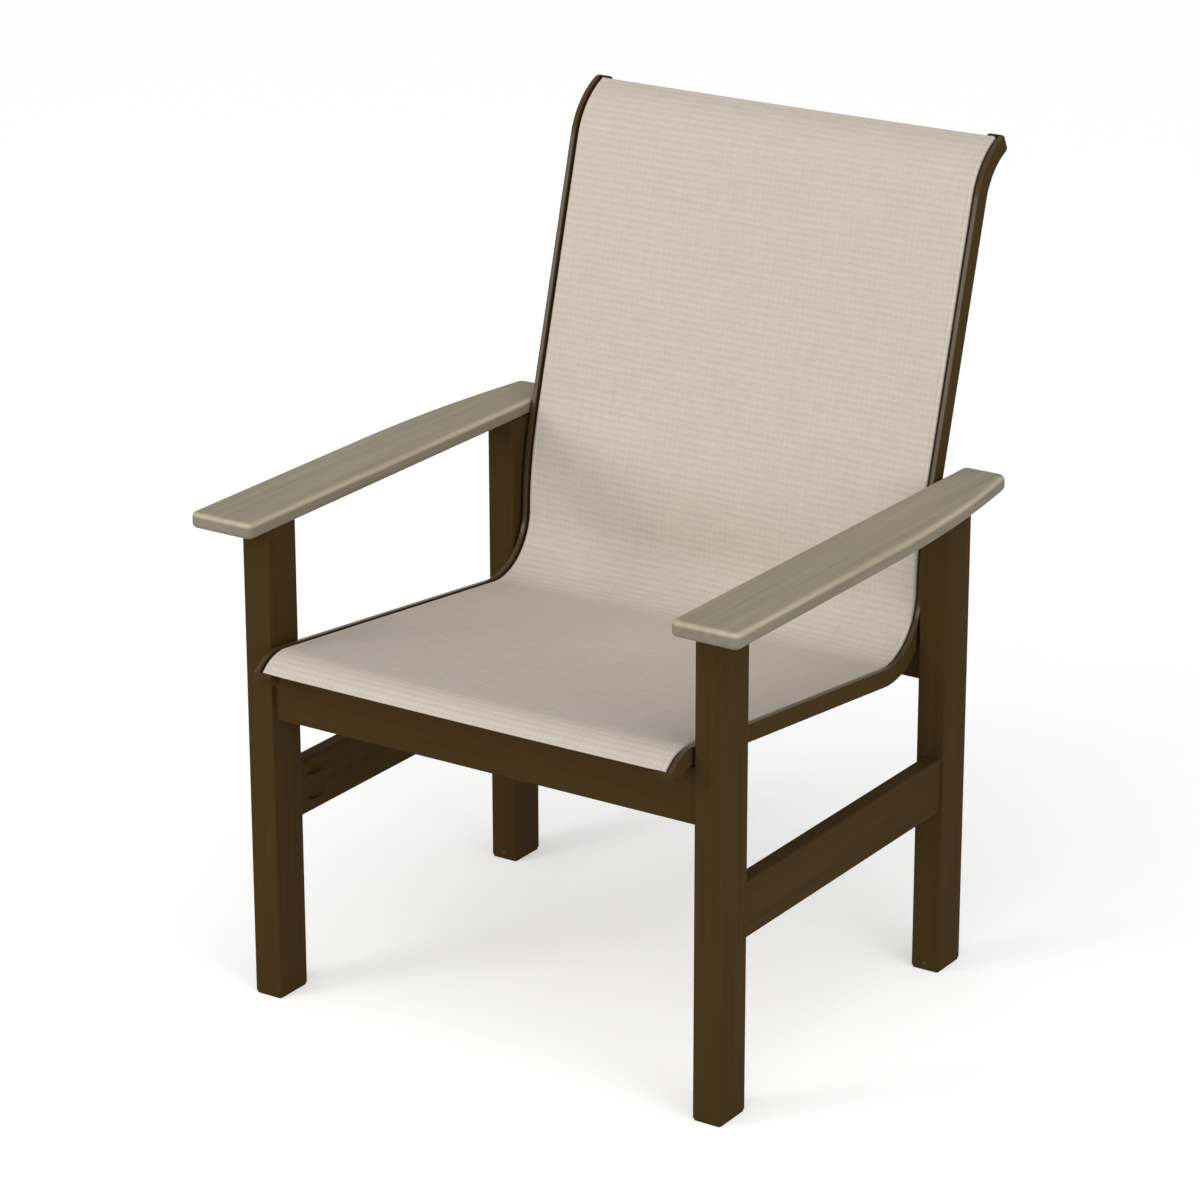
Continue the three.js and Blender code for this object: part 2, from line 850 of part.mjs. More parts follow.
function armDowel(end) {
  return rod(dowelRadius, legTop - dowelInLeg, legTop + dowelInArm, boltSides, legFoot(end), up);
}

Object.keys(legEnds).forEach((end) => {
  addPair("leg", leg(end), brown, "_" + end);
  addPair("foot_plug", footPlug(end), darkPlastic, "_" + end);
  addPair("foot_pin", footPin(end), steel, "_" + end);
  addPair("arm_dowel", armDowel(end), beech, "_" + end);
});

// Armrests: a straight inner edge, and an outer edge that swells and then draws in to the back

function armOutline() {
  const front = frontPlane - armFrontOverhang;
  const rear = rearPlane + armRearOverhang;
  const innerFront = -(legInner - armInnerOverhang);
  const innerRear = -(railOuter + armRailGap);
  const outerFront = -(legSpan / 2 + armOuterFront);
  const widest = -(legSpan / 2 + armOuterWidest);
  const tailStart = rear - armTailLength;
  const tailTurn = Math.asin(armTailLength / armTailRadius);
  const outerRear = widest + armTailRadius * (1 - Math.cos(tailTurn));
  const shape = new THREE.Shape();
  shape.moveTo(innerFront, front + armCorner);
  shape.quadraticCurveTo(innerFront, front, innerFront - armCorner, front);
  shape.lineTo(outerFront + armCorner, front);
  shape.quadraticCurveTo(outerFront, front, outerFront, front + armCorner);
  shape.lineTo(widest, tailStart);
  const cornerTurn = tailTurn * (1 - armCorner / armTailLength);
  shape.absarc(widest + armTailRadius, tailStart, armTailRadius, Math.PI, Math.PI - cornerTurn, true);
  shape.quadraticCurveTo(outerRear, rear, outerRear + armCorner, rear);
  shape.lineTo(innerRear - armCorner, rear);
  shape.quadraticCurveTo(innerRear, rear, innerRear, rear - armCorner);
  shape.closePath();
  return shape;
}

function armrest() {
  const form = new THREE.ExtrudeGeometry(armOutline(), {
    depth: armThickness - 2 * armRound,
    bevelThickness: armRound,
    bevelSize: armRound,
    bevelOffset: -armRound,
    bevelSegments: 3,
    curveSegments: armCornerSteps,
  });
  form.translate(0, 0, legTop + armRound);
  const holes = Object.keys(legEnds).map((end) =>
    rod(dowelRadius + fitGap, 0, legTop + dowelInArm + fitGap, boltSides, legFoot(end), up),
  );
  return cutAll(solidOf(form), holes);
}

addPair("armrest", armrest(), driftwood);

// The origin is the middle of the chair's footprint, on the floor
const bounds = new THREE.Box3().setFromObject(chair);
chair.position.set(0, -(bounds.min.y + bounds.max.y) / 2, -bounds.min.z);

const group = new THREE.Group();
group.add(chair);

export default group;
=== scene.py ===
import math

import bmesh
import bpy
import numpy as np
from mathutils import Matrix, Vector


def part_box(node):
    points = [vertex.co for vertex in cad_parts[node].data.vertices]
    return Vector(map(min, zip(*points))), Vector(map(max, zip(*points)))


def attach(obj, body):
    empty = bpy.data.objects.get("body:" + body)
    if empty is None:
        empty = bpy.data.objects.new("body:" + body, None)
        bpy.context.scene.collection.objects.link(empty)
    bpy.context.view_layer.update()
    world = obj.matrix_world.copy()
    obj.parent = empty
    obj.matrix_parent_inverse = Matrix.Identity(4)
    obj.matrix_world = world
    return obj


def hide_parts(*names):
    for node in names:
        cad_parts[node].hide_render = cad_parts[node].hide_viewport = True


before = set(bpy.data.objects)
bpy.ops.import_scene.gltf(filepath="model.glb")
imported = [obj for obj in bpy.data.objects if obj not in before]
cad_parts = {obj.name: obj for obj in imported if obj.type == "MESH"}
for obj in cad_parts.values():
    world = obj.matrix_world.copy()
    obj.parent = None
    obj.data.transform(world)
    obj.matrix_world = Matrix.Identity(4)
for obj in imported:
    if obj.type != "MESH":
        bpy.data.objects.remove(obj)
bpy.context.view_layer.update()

mm = 0.001
tiny = 1e-6  # places nearer to each other than this count as one
scene = bpy.context.scene

# The chair faces -Y. The legs' own middle lies a little in front of the origin, because the back
# leans out further than the armrests do.
legMiddleY = (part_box("leg_left_front")[0].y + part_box("leg_left_rear")[1].y) / 2
sides = {"Left": -1, "Right": 1}


# Small helpers

def linearColour(hexText):
    parts = [int(hexText[i:i + 2], 16) / 255 for i in (1, 3, 5)]
    return [p / 12.92 if p <= 0.04045 else ((p + 0.055) / 1.055) ** 2.4 for p in parts] + [1.0]


def setInputs(tree, node, values):
    # Each value is another node's socket, an option of this node, or what one of its inputs holds
    for key, value in values.items():
        if isinstance(value, bpy.types.NodeSocket):
            tree.links.new(value, node.inputs[key])
        elif isinstance(key, str) and hasattr(node, key):
            setattr(node, key, value)
        else:
            node.inputs[key].default_value = value


def addNode(tree, kind, values=None):
    node = tree.nodes.new(kind)
    setInputs(tree, node, values or {})
    return node


def mathOf(tree, operation, *values):
    settings = {"operation": operation, **dict(enumerate(values))}
    return addNode(tree, "ShaderNodeMath", settings).outputs["Value"]


def newObject(name, data):
    piece = bpy.data.objects.new(name, data)
    scene.collection.objects.link(piece)
    return piece


def meshOf(name, points, faces):
    mesh = bpy.data.meshes.new(name)
    mesh.from_pydata([tuple(p) for p in points], [], faces)
    mesh.update()
    return mesh


def smoothByAngle(piece, degrees):
    for polygon in piece.data.polygons:
        polygon.use_smooth = True
    bm = bmesh.new()
    bm.from_mesh(piece.data)
    for edge in bm.edges:
        if len(edge.link_faces) == 2 and edge.calc_face_angle(0) > math.radians(degrees):
            edge.smooth = False
    bm.to_mesh(piece.data)
    bm.free()


def faceOutwards(mesh):
    bm = bmesh.new()
    bm.from_mesh(mesh)
    bmesh.ops.remove_doubles(bm, verts=bm.verts, dist=tiny)
    bmesh.ops.recalc_face_normals(bm, faces=bm.faces)
    bm.to_mesh(mesh)
    bm.free()


def ringFaces(rings, around):
    # The faces between rings of points that are listed one ring after another
    faces = []
    for row in range(rings - 1):
        for i in range(around):
            a, b = row * around + i, row * around + (i + 1) % around
            faces.append((a, b, b + around, a + around))
    return faces


def endFaces(rings, around):
    return [tuple(range(around)), tuple((rings - 1) * around + i for i in range(around))]


def quarterTurn(steps):
    return [math.pi / 2 * i / steps for i in range(steps + 1)]


def fillet(corner, before, after, radius, steps):
    # Points of a round at a square corner between two directions
    centre = corner + (before + after) * radius
    return [centre - after * radius * math.cos(a) - before * radius * math.sin(a)
            for a in quarterTurn(steps)]


# Materials: helpers for their nodes

wideSpread = (0.3, 0.7)  # where most of a noise's values lie
tightSpread = (0.35, 0.65)


def startMaterial(name):
    material = bpy.data.materials.new(name)
    material.use_nodes = True
    tree = material.node_tree
    tree.nodes.clear()
    shader = addNode(tree, "ShaderNodeBsdfPrincipled")
    addNode(tree, "ShaderNodeOutputMaterial", {"Surface": shader.outputs["BSDF"]})
    return material, tree, shader


def noiseOf(tree, vector, detail, roughness=0.5, scale=1.0):
    return addNode(tree, "ShaderNodeTexNoise", {
        "Vector": vector, "Scale": scale, "Detail": detail, "Roughness": roughness}).outputs["Fac"]


def grainOf(tree, along, size, detail, roughness=0.5):
    # A noise drawn out along a board. Its size is in mm, along the board and across it.
    scale = [1 / (size[1] * mm)] * 3
    scale["XYZ".index(along)] = 1 / (size[0] * mm)
    place = addNode(tree, "ShaderNodeTexCoord").outputs["Object"]
    stretched = addNode(tree, "ShaderNodeMapping", {"Vector": place, "Scale": scale})
    return noiseOf(tree, stretched.outputs["Vector"], detail, roughness)


def gritOf(tree, size, detail, roughness=0.5):
    # An even noise, its size in mm
    place = addNode(tree, "ShaderNodeTexCoord").outputs["Object"]
    return noiseOf(tree, place, detail, roughness, 1 / (size * mm))


def rangeOf(tree, value, spread, toLow, toHigh):
    return addNode(tree, "ShaderNodeMapRange", {
        "Value": value, "From Min": spread[0], "From Max": spread[1],
        "To Min": toLow, "To Max": toHigh}).outputs["Result"]


def tonesOf(tree, value, spread, hexTexts):
    # Colours laid evenly over a value's spread
    ramp = addNode(tree, "ShaderNodeValToRGB", {"Fac": value})
    elements = ramp.color_ramp.elements
    for element, position, hexText in zip(list(elements), spread, (hexTexts[0], hexTexts[-1])):
        element.position = position
        element.color = linearColour(hexText)
    step = (spread[1] - spread[0]) / (len(hexTexts) - 1)
    for i, hexText in enumerate(hexTexts[1:-1], 1):
        elements.new(spread[0] + step * i).color = linearColour(hexText)
    return ramp.outputs["Color"]


def times(tree, colour, factor):
    return addNode(tree, "ShaderNodeVectorMath", {
        "operation": "MULTIPLY", 0: colour, 1: factor}).outputs["Vector"]


def swing(tree, colour, pattern, spread, share):
    # Darker and lighter along a pattern, by a share of the colour
    return times(tree, colour, rangeOf(tree, pattern, spread, 1 - share, 1 + share))


def setFinish(tree, shader, finish, colour, pattern, spread=wideSpread):
    # Sets what a finish holds. The bump follows the pattern, and so does a roughness given as a pair.
    rough = finish["roughness"]
    if isinstance(rough, tuple):
        rough = rangeOf(tree, pattern, spread, *rough)
    setInputs(tree, shader, {"Base Color": colour, "Roughness": rough})
    if "specular" in finish:
        setInputs(tree, shader, {"Specular IOR Level": finish["specular"]})
    if "bump" in finish:
        bump = addNode(tree, "ShaderNodeBump", {
            "Height": pattern, "Strength": finish["bump"], "Distance": finish["bumpDepth"] * mm})
        setInputs(tree, shader, {"Normal": bump.outputs["Normal"]})


# Materials: sizes are in mm, and each roughness pair gives the smoothest and the roughest spot

darkLumber = {
    "shade": "#3f2f18",
    "base": "#45341c",
    "streaks": (240, 6),
    "brushing": (55, 0.9),
    "brushShare": 0.03,
    "roughness": (0.54, 0.68),
    "specular": 0.02,
    "bump": 0.16,
    "bumpDepth": 0.3,
}


def makeDarkLumber(along):
    # Extruded HDPE lumber, coloured through: matt and even, with faint drawn-out streaks and a
    # brushed skin
    material, tree, shader = startMaterial("darkHdpeLumber" + along)
    streaks = grainOf(tree, along, darkLumber["streaks"], detail=3)
    brushing = grainOf(tree, along, darkLumber["brushing"], detail=4, roughness=0.6)
    colour = tonesOf(tree, streaks, wideSpread, [darkLumber["shade"], darkLumber["base"]])
    brushed = swing(tree, colour, brushing, wideSpread, darkLumber["brushShare"])
    setFinish(tree, shader, darkLumber, brushed, brushing)
    return material


driftwood = {
    "dark": "#948a76",
    "base": "#9b927f",
    "pale": "#a29886",
    "paintedEdgeHighlight": 1.4,  # painted highlight on the rounded edge and painted shade on the side, as brightness against the top
    "side": 0.68,
    "paintedHighlightTurn": (0.0, 0.5),  # where the painted highlight and the painted shade set in, from the top (0) to the side (1)
    "paintedShadeTurn": (0.65, 1.0),
    "streaks": (260, 9),
    "brushing": (60, 1.1),
    "brushShare": 0.03,
    "roughness": 0.66,
    "specular": 0.1,
    "bump": 0.18,
    "bumpDepth": 0.4,
}


def makeDriftwood():
    # HDPE lumber in a weathered wood tone: soft grey-brown streaks along the board, a lightly brushed
    # face, a painted highlight on the rounded edge and painted shade on the side
    material, tree, shader = startMaterial("driftwoodHdpeLumber")
    streaks = grainOf(tree, "Y", driftwood["streaks"], detail=4, roughness=0.55)
    brushing = grainOf(tree, "Y", driftwood["brushing"], detail=4, roughness=0.65)
    colour = tonesOf(tree, streaks, wideSpread, [driftwood[tone] for tone in ("dark", "base", "pale")])
    turn = addNode(tree, "ShaderNodeAttribute", {"attribute_name": "edgeTurn"}).outputs["Fac"]
    # Painted highlight on the rounded edge and painted shade on the side, set by how far the surface
    # turns from the top
    edgeHighlight = rangeOf(tree, turn, driftwood["paintedHighlightTurn"], 1.0, driftwood["paintedEdgeHighlight"])
    sideShade = rangeOf(tree, turn, driftwood["paintedShadeTurn"], 0.0, driftwood["side"] - driftwood["paintedEdgeHighlight"])
    brushed = swing(tree, colour, brushing, tightSpread, driftwood["brushShare"])
    colour = times(tree, brushed, mathOf(tree, "ADD", edgeHighlight, sideShade))
    setFinish(tree, shader, driftwood, colour, brushing)
    return material


powderCoat = {
    "base": "#4a3920",
    "dark": "#44341b",
    "peel": 1.6,
    "roughness": (0.19, 0.26),
    "specular": 0.004,
    "lipSpecular": 0.16,
    "bump": 0.05,
    "bumpDepth": 0.2,
}


def makePowderCoat():
    # Extruded aluminium with a brown powder coat: dull, with a fine orange peel. The front lips are
    # glossier, for the sheen that the photograph shows along them.
    material, tree, shader = startMaterial("brownPowderCoat")
    peel = gritOf(tree, powderCoat["peel"], detail=2)
    colour = tonesOf(tree, peel, tightSpread, [powderCoat["dark"], powderCoat["base"]])
    setFinish(tree, shader, powderCoat, colour, peel)
    lip = addNode(tree, "ShaderNodeAttribute", {"attribute_name": "lipGloss"}).outputs["Fac"]
    gloss = rangeOf(tree, lip, (0.0, 1.0), powderCoat["specular"], powderCoat["lipSpecular"])
    setInputs(tree, shader, {"Specular IOR Level": gloss})
    return material


weave = {
    "valley": "#c2b7ab",
    "yarn": "#cac0b4",
    "ribPitch": 8.2,
    "warpPitch": 6.8,
    "drift": 0.32,  # how far a yarn strays, in pitches
    "warpShare": 0.42,
    "bands": (50, 4.4),  # across the chair and along the cloth
    "bandShare": 0.034,
    "threads": (7, 60),
    "threadShare": 0.024,
    "patches": (90, 90),
    "patchShare": 0.005,
    "roughness": 0.7,
    "specular": 0.1,
    "bump": 0.2,
    "bumpDepth": 0.35,
}


def makeWeave():
    # Woven mesh of vinyl-coated polyester yarn: matt, with cross ribs and uneven bands from thick and
    # thin yarns. The real yarns are about 0.8 mm apart, too fine to show, so both ways are drawn
    # coarser, at the pitch at which the photograph shows them.
    material, tree, shader = startMaterial("wovenVinylMesh")
    plan = addNode(tree, "ShaderNodeUVMap", {"uv_map": "clothPlan"}).outputs["UV"]
    place = addNode(tree, "ShaderNodeSeparateXYZ", {"Vector": plan}).outputs

    def clothNoise(size, detail, roughness=0.5):
        scale = (1 / (size[0] * mm), 1 / (size[1] * mm), 1.0)
        scaled = addNode(tree, "ShaderNodeMapping", {"Vector": plan, "Scale": scale})
        return noiseOf(tree, scaled.outputs["Vector"], detail, roughness)

    def yarnRow(position, pitch, noise):
        # A row of yarns, each a little thicker, thinner or out of place
        turn = 2 * math.pi
        drift = rangeOf(tree, noise, wideSpread, 0.0, turn * weave["drift"])
        sine = mathOf(tree, "SINE", mathOf(tree, "MULTIPLY_ADD", position, turn / (pitch * mm), drift))
        return rangeOf(tree, sine, (-1.0, 1.0), 0.0, 1.0)

    bands = clothNoise(weave["bands"], detail=3, roughness=0.6)
    threads = clothNoise(weave["threads"], detail=3, roughness=0.6)
    patches = clothNoise(weave["patches"], detail=2)
    ribs = yarnRow(place["Y"], weave["ribPitch"], bands)
    warps = yarnRow(place["X"], weave["warpPitch"], threads)
    height = mathOf(tree, "MULTIPLY_ADD", warps, weave["warpShare"], ribs)
    level = rangeOf(tree, height, (0.0, 1 + weave["warpShare"]), 0.0, 1.0)
    colour = tonesOf(tree, level, (0.0, 1.0), [weave["valley"], weave["yarn"]])
    for pattern, share in ((bands, "bandShare"), (threads, "threadShare"), (patches, "patchShare")):
        colour = swing(tree, colour, pattern, wideSpread, weave[share])
    setFinish(tree, shader, weave, colour, level)
    return material


sewingThread = {"base": "#c3b8aa", "shade": "#a99e90", "twist": 0.6, "roughness": 0.6, "specular": 0.2}


def makeSewingThread():
    # Bonded polyester sewing thread: slightly silky, with the twist of its strands
    material, tree, shader = startMaterial("bondedPolyesterThread")
    strands = gritOf(tree, sewingThread["twist"], detail=2)
    colour = tonesOf(tree, strands, tightSpread, [sewingThread["shade"], sewingThread["base"]])
    setFinish(tree, shader, sewingThread, colour, strands)
    return material


mouldedNylon = {
    "base": "#43331d",
    "grit": 0.5,
    "roughness": (0.45, 0.55),
    "specular": 0.006,
    "bump": 0.1,
    "bumpDepth": 0.1,
}


def makeMouldedNylon():
    # Injection-moulded nylon: matt, with a fine spark-eroded grain
    material, tree, shader = startMaterial("brownMouldedNylon")
    grit = gritOf(tree, mouldedNylon["grit"], detail=2)
    setFinish(tree, shader, mouldedNylon, linearColour(mouldedNylon["base"]), grit, (0.0, 1.0))
    return material


turnedSteel = {"base": "#a8a49c", "marks": 0.8, "roughness": (0.26, 0.42)}


def makeTurnedSteel():
    # Turned stainless steel: bright, with fine tool marks that break up the highlight
    material, tree, shader = startMaterial("turnedStainlessSteel")
    marks = gritOf(tree, turnedSteel["marks"], detail=3)
    setFinish(tree, shader, turnedSteel, linearColour(turnedSteel["base"]), marks)
    setInputs(tree, shader, {"Metallic": 1.0})
    return material


coatedSteel = {
    "dark": "#4e3d26",
    "pale": "#5b4933",
    "grit": 0.6,
    "roughness": 0.5,
    "specular": 0.15,
    "bump": 0.15,
    "bumpDepth": 0.1,
}


def makeCoatedSteel():
    # Steel pin with a baked brown coating: dull, slightly paler than the lumber round it
    material, tree, shader = startMaterial("brownCoatedSteel")
    grit = gritOf(tree, coatedSteel["grit"], detail=3, roughness=0.6)
    colour = tonesOf(tree, grit, tightSpread, [coatedSteel["dark"], coatedSteel["pale"]])
    setFinish(tree, shader, coatedSteel, colour, grit)
    return material


bareBeech = {"dark": "#a9845a", "pale": "#c9a678", "grain": (25, 0.7), "roughness": 0.7}


def makeBareBeech():
    # Bare beech dowel: fine straight grain along its length
    material, tree, shader = startMaterial("bareBeech")
    grain = grainOf(tree, "Z", bareBeech["grain"], detail=3)
    colour = tonesOf(tree, grain, tightSpread, [bareBeech["dark"], bareBeech["pale"]])
    setFinish(tree, shader, bareBeech, colour, grain)
    return material


lumber = {axis: makeDarkLumber(axis) for axis in "XYZ"}
armWood = makeDriftwood()
railCoat = makePowderCoat()
clothWeave = makeWeave()
hemThread = makeSewingThread()
brownNylon = makeMouldedNylon()
steel = makeTurnedSteel()
pinCoat = makeCoatedSteel()
beech = makeBareBeech()
print("materials made")


# CAD nodes that keep their shape get their finish

nodeFinishes = {
    "leg_": lumber["Z"],
    "side_stretcher_": lumber["Y"],
    "front_apron": lumber["X"],
    "rear_crossbar": lumber["X"],
    "spreader_bar": railCoat,
    "rail_spacer_": brownNylon,
    "foot_plug_": brownNylon,
    # The sling splines are a real part, but their dark nylon stands in for the shade in the rail's slot:
    # painted shade
    "sling_spline_": brownNylon,
    "arm_dowel_": beech,
}
for nodeName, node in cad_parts.items():
    for stem, material in nodeFinishes.items():
        if nodeName.startswith(stem):
            node.data.materials.clear()
            node.data.materials.append(material)
print("CAD nodes finished")


# Side profile: the line of the rails' front surface, as a distance from the nose end

sideProfile = {
    "seatStart": (-258 * mm, 435 * mm),
    "seatFall": math.radians(6),
    "bendEnd": 227.65 * mm,
    "noseRadius": 50 * mm,
    "noseAngle": math.radians(49.5),
    "bendRadius": 71 * mm,
    "bendAngle": math.radians(89),
    "lumbarRadius": 442 * mm,
    "backAngle": math.radians(74.6),
    "backLength": 341.5 * mm,
    "curlRadius": 91.5 * mm,
    "curlAngle": math.radians(26.6),
    "tailLength": 8.5 * mm,
    "tightRadius": 200 * mm,  # arcs below this get short steps
}


def profileSegments():
    # Each segment's radius, 0 for a straight one, and its length
    p = sideProfile
    turns = [
        (-p["noseRadius"], p["noseAngle"], -p["seatFall"]),
        (p["bendRadius"], -p["seatFall"], p["bendAngle"]),
        (-p["lumbarRadius"], p["bendAngle"], p["backAngle"]),
        (-p["curlRadius"], p["backAngle"], p["curlAngle"]),
    ]
    nose, bend, lumbar, curl = [(radius, (end - start) * radius) for radius, start, end in turns]
    bendReach = p["bendRadius"] * (math.sin(p["bendAngle"]) + math.sin(p["seatFall"]))
    seatLength = (p["bendEnd"] - bendReach - p["seatStart"][0]) / math.cos(p["seatFall"])
    return [nose, (0, seatLength), bend, lumbar, (0, p["backLength"]), curl, (0, p["tailLength"])]


segments = profileSegments()
profileLength = sum(length for _, length in segments)


def profileAt(run):
    # The place on the line and its slope
    p = sideProfile
    angle = p["noseAngle"]
    y = p["seatStart"][0] + legMiddleY - p["noseRadius"] * (math.sin(angle) + math.sin(p["seatFall"]))
    z = p["seatStart"][1] + p["noseRadius"] * (math.cos(angle) - math.cos(p["seatFall"]))
    for radius, length in segments:
        part = min(max(run, 0), length)
        if radius:
            turned = angle + part / radius
            y += radius * (math.sin(turned) - math.sin(angle))
            z -= radius * (math.cos(turned) - math.cos(angle))
            angle = turned
        else:
            y += part * math.cos(angle)
            z += part * math.sin(angle)
        run -= part
        if run <= 0:
            break
    return y, z, angle


def behind(run, depth, x):
    y, z, angle = profileAt(run)
    return Vector((x, y + depth * math.sin(angle), z - depth * math.cos(angle)))


def runSteps(start, end, longStep, shortStep):
    # Short steps round the tight arcs and long ones elsewhere
    stops, run = [], 0
    for radius, length in segments:
        tight = radius and abs(radius) < sideProfile["tightRadius"]
        count = max(1, math.ceil(length / (shortStep if tight else longStep)))
        stops += [run + length * (i + 1) / count for i in range(count)]
        run += length
    return [start] + [s for s in stops if start + tiny < s < end - tiny] + [end]


# Geometry node trees

def newTree(name, sockets):
    tree = bpy.data.node_groups.new(name, "GeometryNodeTree")
    tree.interface.new_socket(name="Geometry", in_out="OUTPUT", socket_type="NodeSocketGeometry")
    for label, kind in sockets.items():
        tree.interface.new_socket(name=label, in_out="INPUT", socket_type="NodeSocket" + kind)
    return tree, addNode(tree, "NodeGroupInput").outputs, addNode(tree, "NodeGroupOutput")


def endTree(tree, output, geometry, material):
    solid = addNode(tree, "GeometryNodeRealizeInstances", {"Geometry": geometry})
    dressed = addNode(tree, "GeometryNodeSetMaterial", {
        "Geometry": solid.outputs["Geometry"], "Material": material})
    setInputs(tree, output, {"Geometry": dressed.outputs["Geometry"]})
    return tree


def shapeOf(tree, source):
    return addNode(tree, "GeometryNodeObjectInfo", {"Object": source}).outputs["Geometry"]


def bakeTree(name, tree, values):
    # Runs a tree on an empty mesh, keeps the result as a plain mesh and clears away what it read
    piece = newObject(name, bpy.data.meshes.new(name))
    modifier = piece.modifiers.new("shape", "NODES")
    modifier.node_group = tree
    for item in tree.interface.items_tree:
        if item.in_out == "INPUT" and item.name in values:
            modifier[item.identifier] = values[item.name]
    made = bpy.data.meshes.new_from_object(piece.evaluated_get(bpy.context.evaluated_depsgraph_get()))
    piece.modifiers.clear()
    piece.data = made
    made.name = name
    for value in values.values():
        if isinstance(value, bpy.types.Object):
            bpy.data.objects.remove(value)
    return piece


def polyCurve(name, points, closed):
    curve = bpy.data.curves.new(name, "CURVE")
    curve.dimensions = "3D"
    spline = curve.splines.new("POLY")
    spline.points.add(len(points) - 1)
    for point, place in zip(spline.points, points):
        point.co = (*place, 1.0)
    spline.use_cyclic_u = closed
    return newObject(name, curve)


def makeSweepTree():
    tree, given, output = newTree("sectionAlongPath", {
        "Path": "Object", "Section": "Object", "Start Trim": "Float", "End Trim": "Float",
        "Material": "Material"})
    path = shapeOf(tree, given["Path"])
    length = addNode(tree, "GeometryNodeCurveLength", {"Curve": path}).outputs["Length"]
    # The last two inputs are the start and the end as lengths along the path
    trimmed = addNode(tree, "GeometryNodeTrimCurve", {
        "mode": "LENGTH", "Curve": path, 4: given["Start Trim"],
        5: mathOf(tree, "SUBTRACT", length, given["End Trim"])})
    facing = addNode(tree, "GeometryNodeSetCurveNormal", {
        "mode": "FREE", "Normal": (1.0, 0.0, 0.0), "Curve": trimmed.outputs["Curve"]})
    swept = addNode(tree, "GeometryNodeCurveToMesh", {
        "Curve": facing.outputs["Curve"], "Profile Curve": shapeOf(tree, given["Section"]),
        "Fill Caps": True})
    return endTree(tree, output, swept.outputs["Mesh"], given["Material"])


sweepTree = makeSweepTree()


# Side rails

rail = {
    "inner": 255 * mm,
    "width": 22 * mm,
    "depth": 21.5 * mm,
    "corner": 2.2 * mm,
    "frontCorner": 0.8 * mm,
    "recess": 1.8 * mm,
    "slotStart": 10.4 * mm,
    "slotWidth": 5.6 * mm,
    "lipRound": 0.8 * mm,
    "channelRadius": 3.8 * mm,
    "channelDepth": 6.8 * mm,
    "glossDepth": 0.3 * mm,  # how far round its edge the front lip is glossy
    "startTrim": 0.0,
    "endTrim": 0.0,
    "brace": 0.3 * mm,
    "cornerSteps": 5,
    "smallSteps": 3,
    "channelSteps": 14,
    "longStep": 20 * mm,
    "shortStep": 4 * mm,
    "crease": 32,  # degrees, above which an edge shades as sharp
}


def bracedFillet(corner, before, after, radius, steps):
    # One more point on each flat beside the round, so that the flats shade as flats
    brace = radius + rail["brace"]
    points = fillet(corner, before, after, radius, steps)
    return [corner + before * brace] + points + [corner + after * brace]


def railSection():
    # Drawn with x as the distance from the rail's inner face and y as the depth behind its front
    r = rail
    right, down = Vector((1, 0)), Vector((0, 1))
    w, d, c, s, small = r["width"], r["depth"], r["corner"], r["cornerSteps"], r["smallSteps"]
    slotIn, slotOut = r["slotStart"], r["slotStart"] + r["slotWidth"]
    middle = (slotIn + slotOut) / 2
    mouth = math.asin(r["slotWidth"] / 2 / r["channelRadius"])
    points = bracedFillet(Vector((0, d)), -down, right, c, s)
    points += bracedFillet(Vector((w, d)), -right, -down, c, s)
    points += bracedFillet(Vector((w, 0)), down, -right, r["frontCorner"], small)
    points += bracedFillet(Vector((slotOut, 0)), right, down, r["lipRound"], small)
    for i in range(r["channelSteps"] + 1):
        a = mouth + (2 * math.pi - 2 * mouth) * i / r["channelSteps"]
        points.append(Vector((middle + r["channelRadius"] * math.sin(a),
                              r["channelDepth"] - r["channelRadius"] * math.cos(a))))
    points += bracedFillet(Vector((slotIn, r["recess"])), down, -right, r["lipRound"], small)
    points += bracedFillet(Vector((0, r["recess"])), right, down, c, s)
    return points


def makeRail(side):
    runs = runSteps(0, profileLength, rail["longStep"], rail["shortStep"])
    outline = railSection()
    placed = [(sides[side] * (rail["inner"] + p.x), p.y, 0) for p in outline]
    piece = bakeTree("sideRail" + side, sweepTree, {
        "Path": polyCurve("railPath", [behind(run, 0, 0) for run in runs], False),
        "Section": polyCurve("railSection", placed, True),
        "Start Trim": rail["startTrim"], "End Trim": rail["endTrim"], "Material": railCoat})
    # 1 on the flat of the front lip: the tree lays the section's points in order, ring after ring
    lipStart = rail["slotStart"] + rail["slotWidth"]
    lip = [1.0 if p.y < rail["glossDepth"] and p.x > lipStart else 0.0 for p in outline]
    gloss = piece.data.attributes.new("lipGloss", "FLOAT", "POINT")
    gloss.data.foreach_set("value", [lip[i % len(lip)] for i in range(len(piece.data.vertices))])
    faceOutwards(piece.data)
    smoothByAngle(piece, rail["crease"])
    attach(piece, "root")
    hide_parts("side_rail_" + side.lower())


for side in sides:
    makeRail(side)
print("side rails swept")


# Sling

sling = {
    "thickness": 1.4 * mm,
    "rest": 0.2 * mm,
    "noseInset": 1 * mm,
    "topInset": 2 * mm,
    "tuckRadius": 2 * mm,
    "tuckEnd": 3.2 * mm,
    "hollowShares": [0, 0.23, 0.465, 0.72, 1],
    "hollowDepths": [3 * mm, 5 * mm, -3 * mm, 4 * mm, 1 * mm],
    "beadWidth": 5 * mm,
    "beadRaise": 0.5 * mm,
    "beadInset": 0.6 * mm,
    "endHem": 17 * mm,
    "endHemThickness": 0.9 * mm,
    "endHemStep": 0.6 * mm,
    "hemFromRail": 4 * mm,
    "hemSideStep": 1.5 * mm,
    "hollowSteps": 30,
    "ledgeSteps": 18,
    "tuckSteps": 6,
    "longStep": 7 * mm,
    "shortStep": 3 * mm,
    "crease": 50,
}
slingRuns = (sling["noseInset"], profileLength - sling["topInset"])
clothDepth = rail["recess"] - sling["rest"] - sling["thickness"] / 2  # the cloth's middle, on the rails


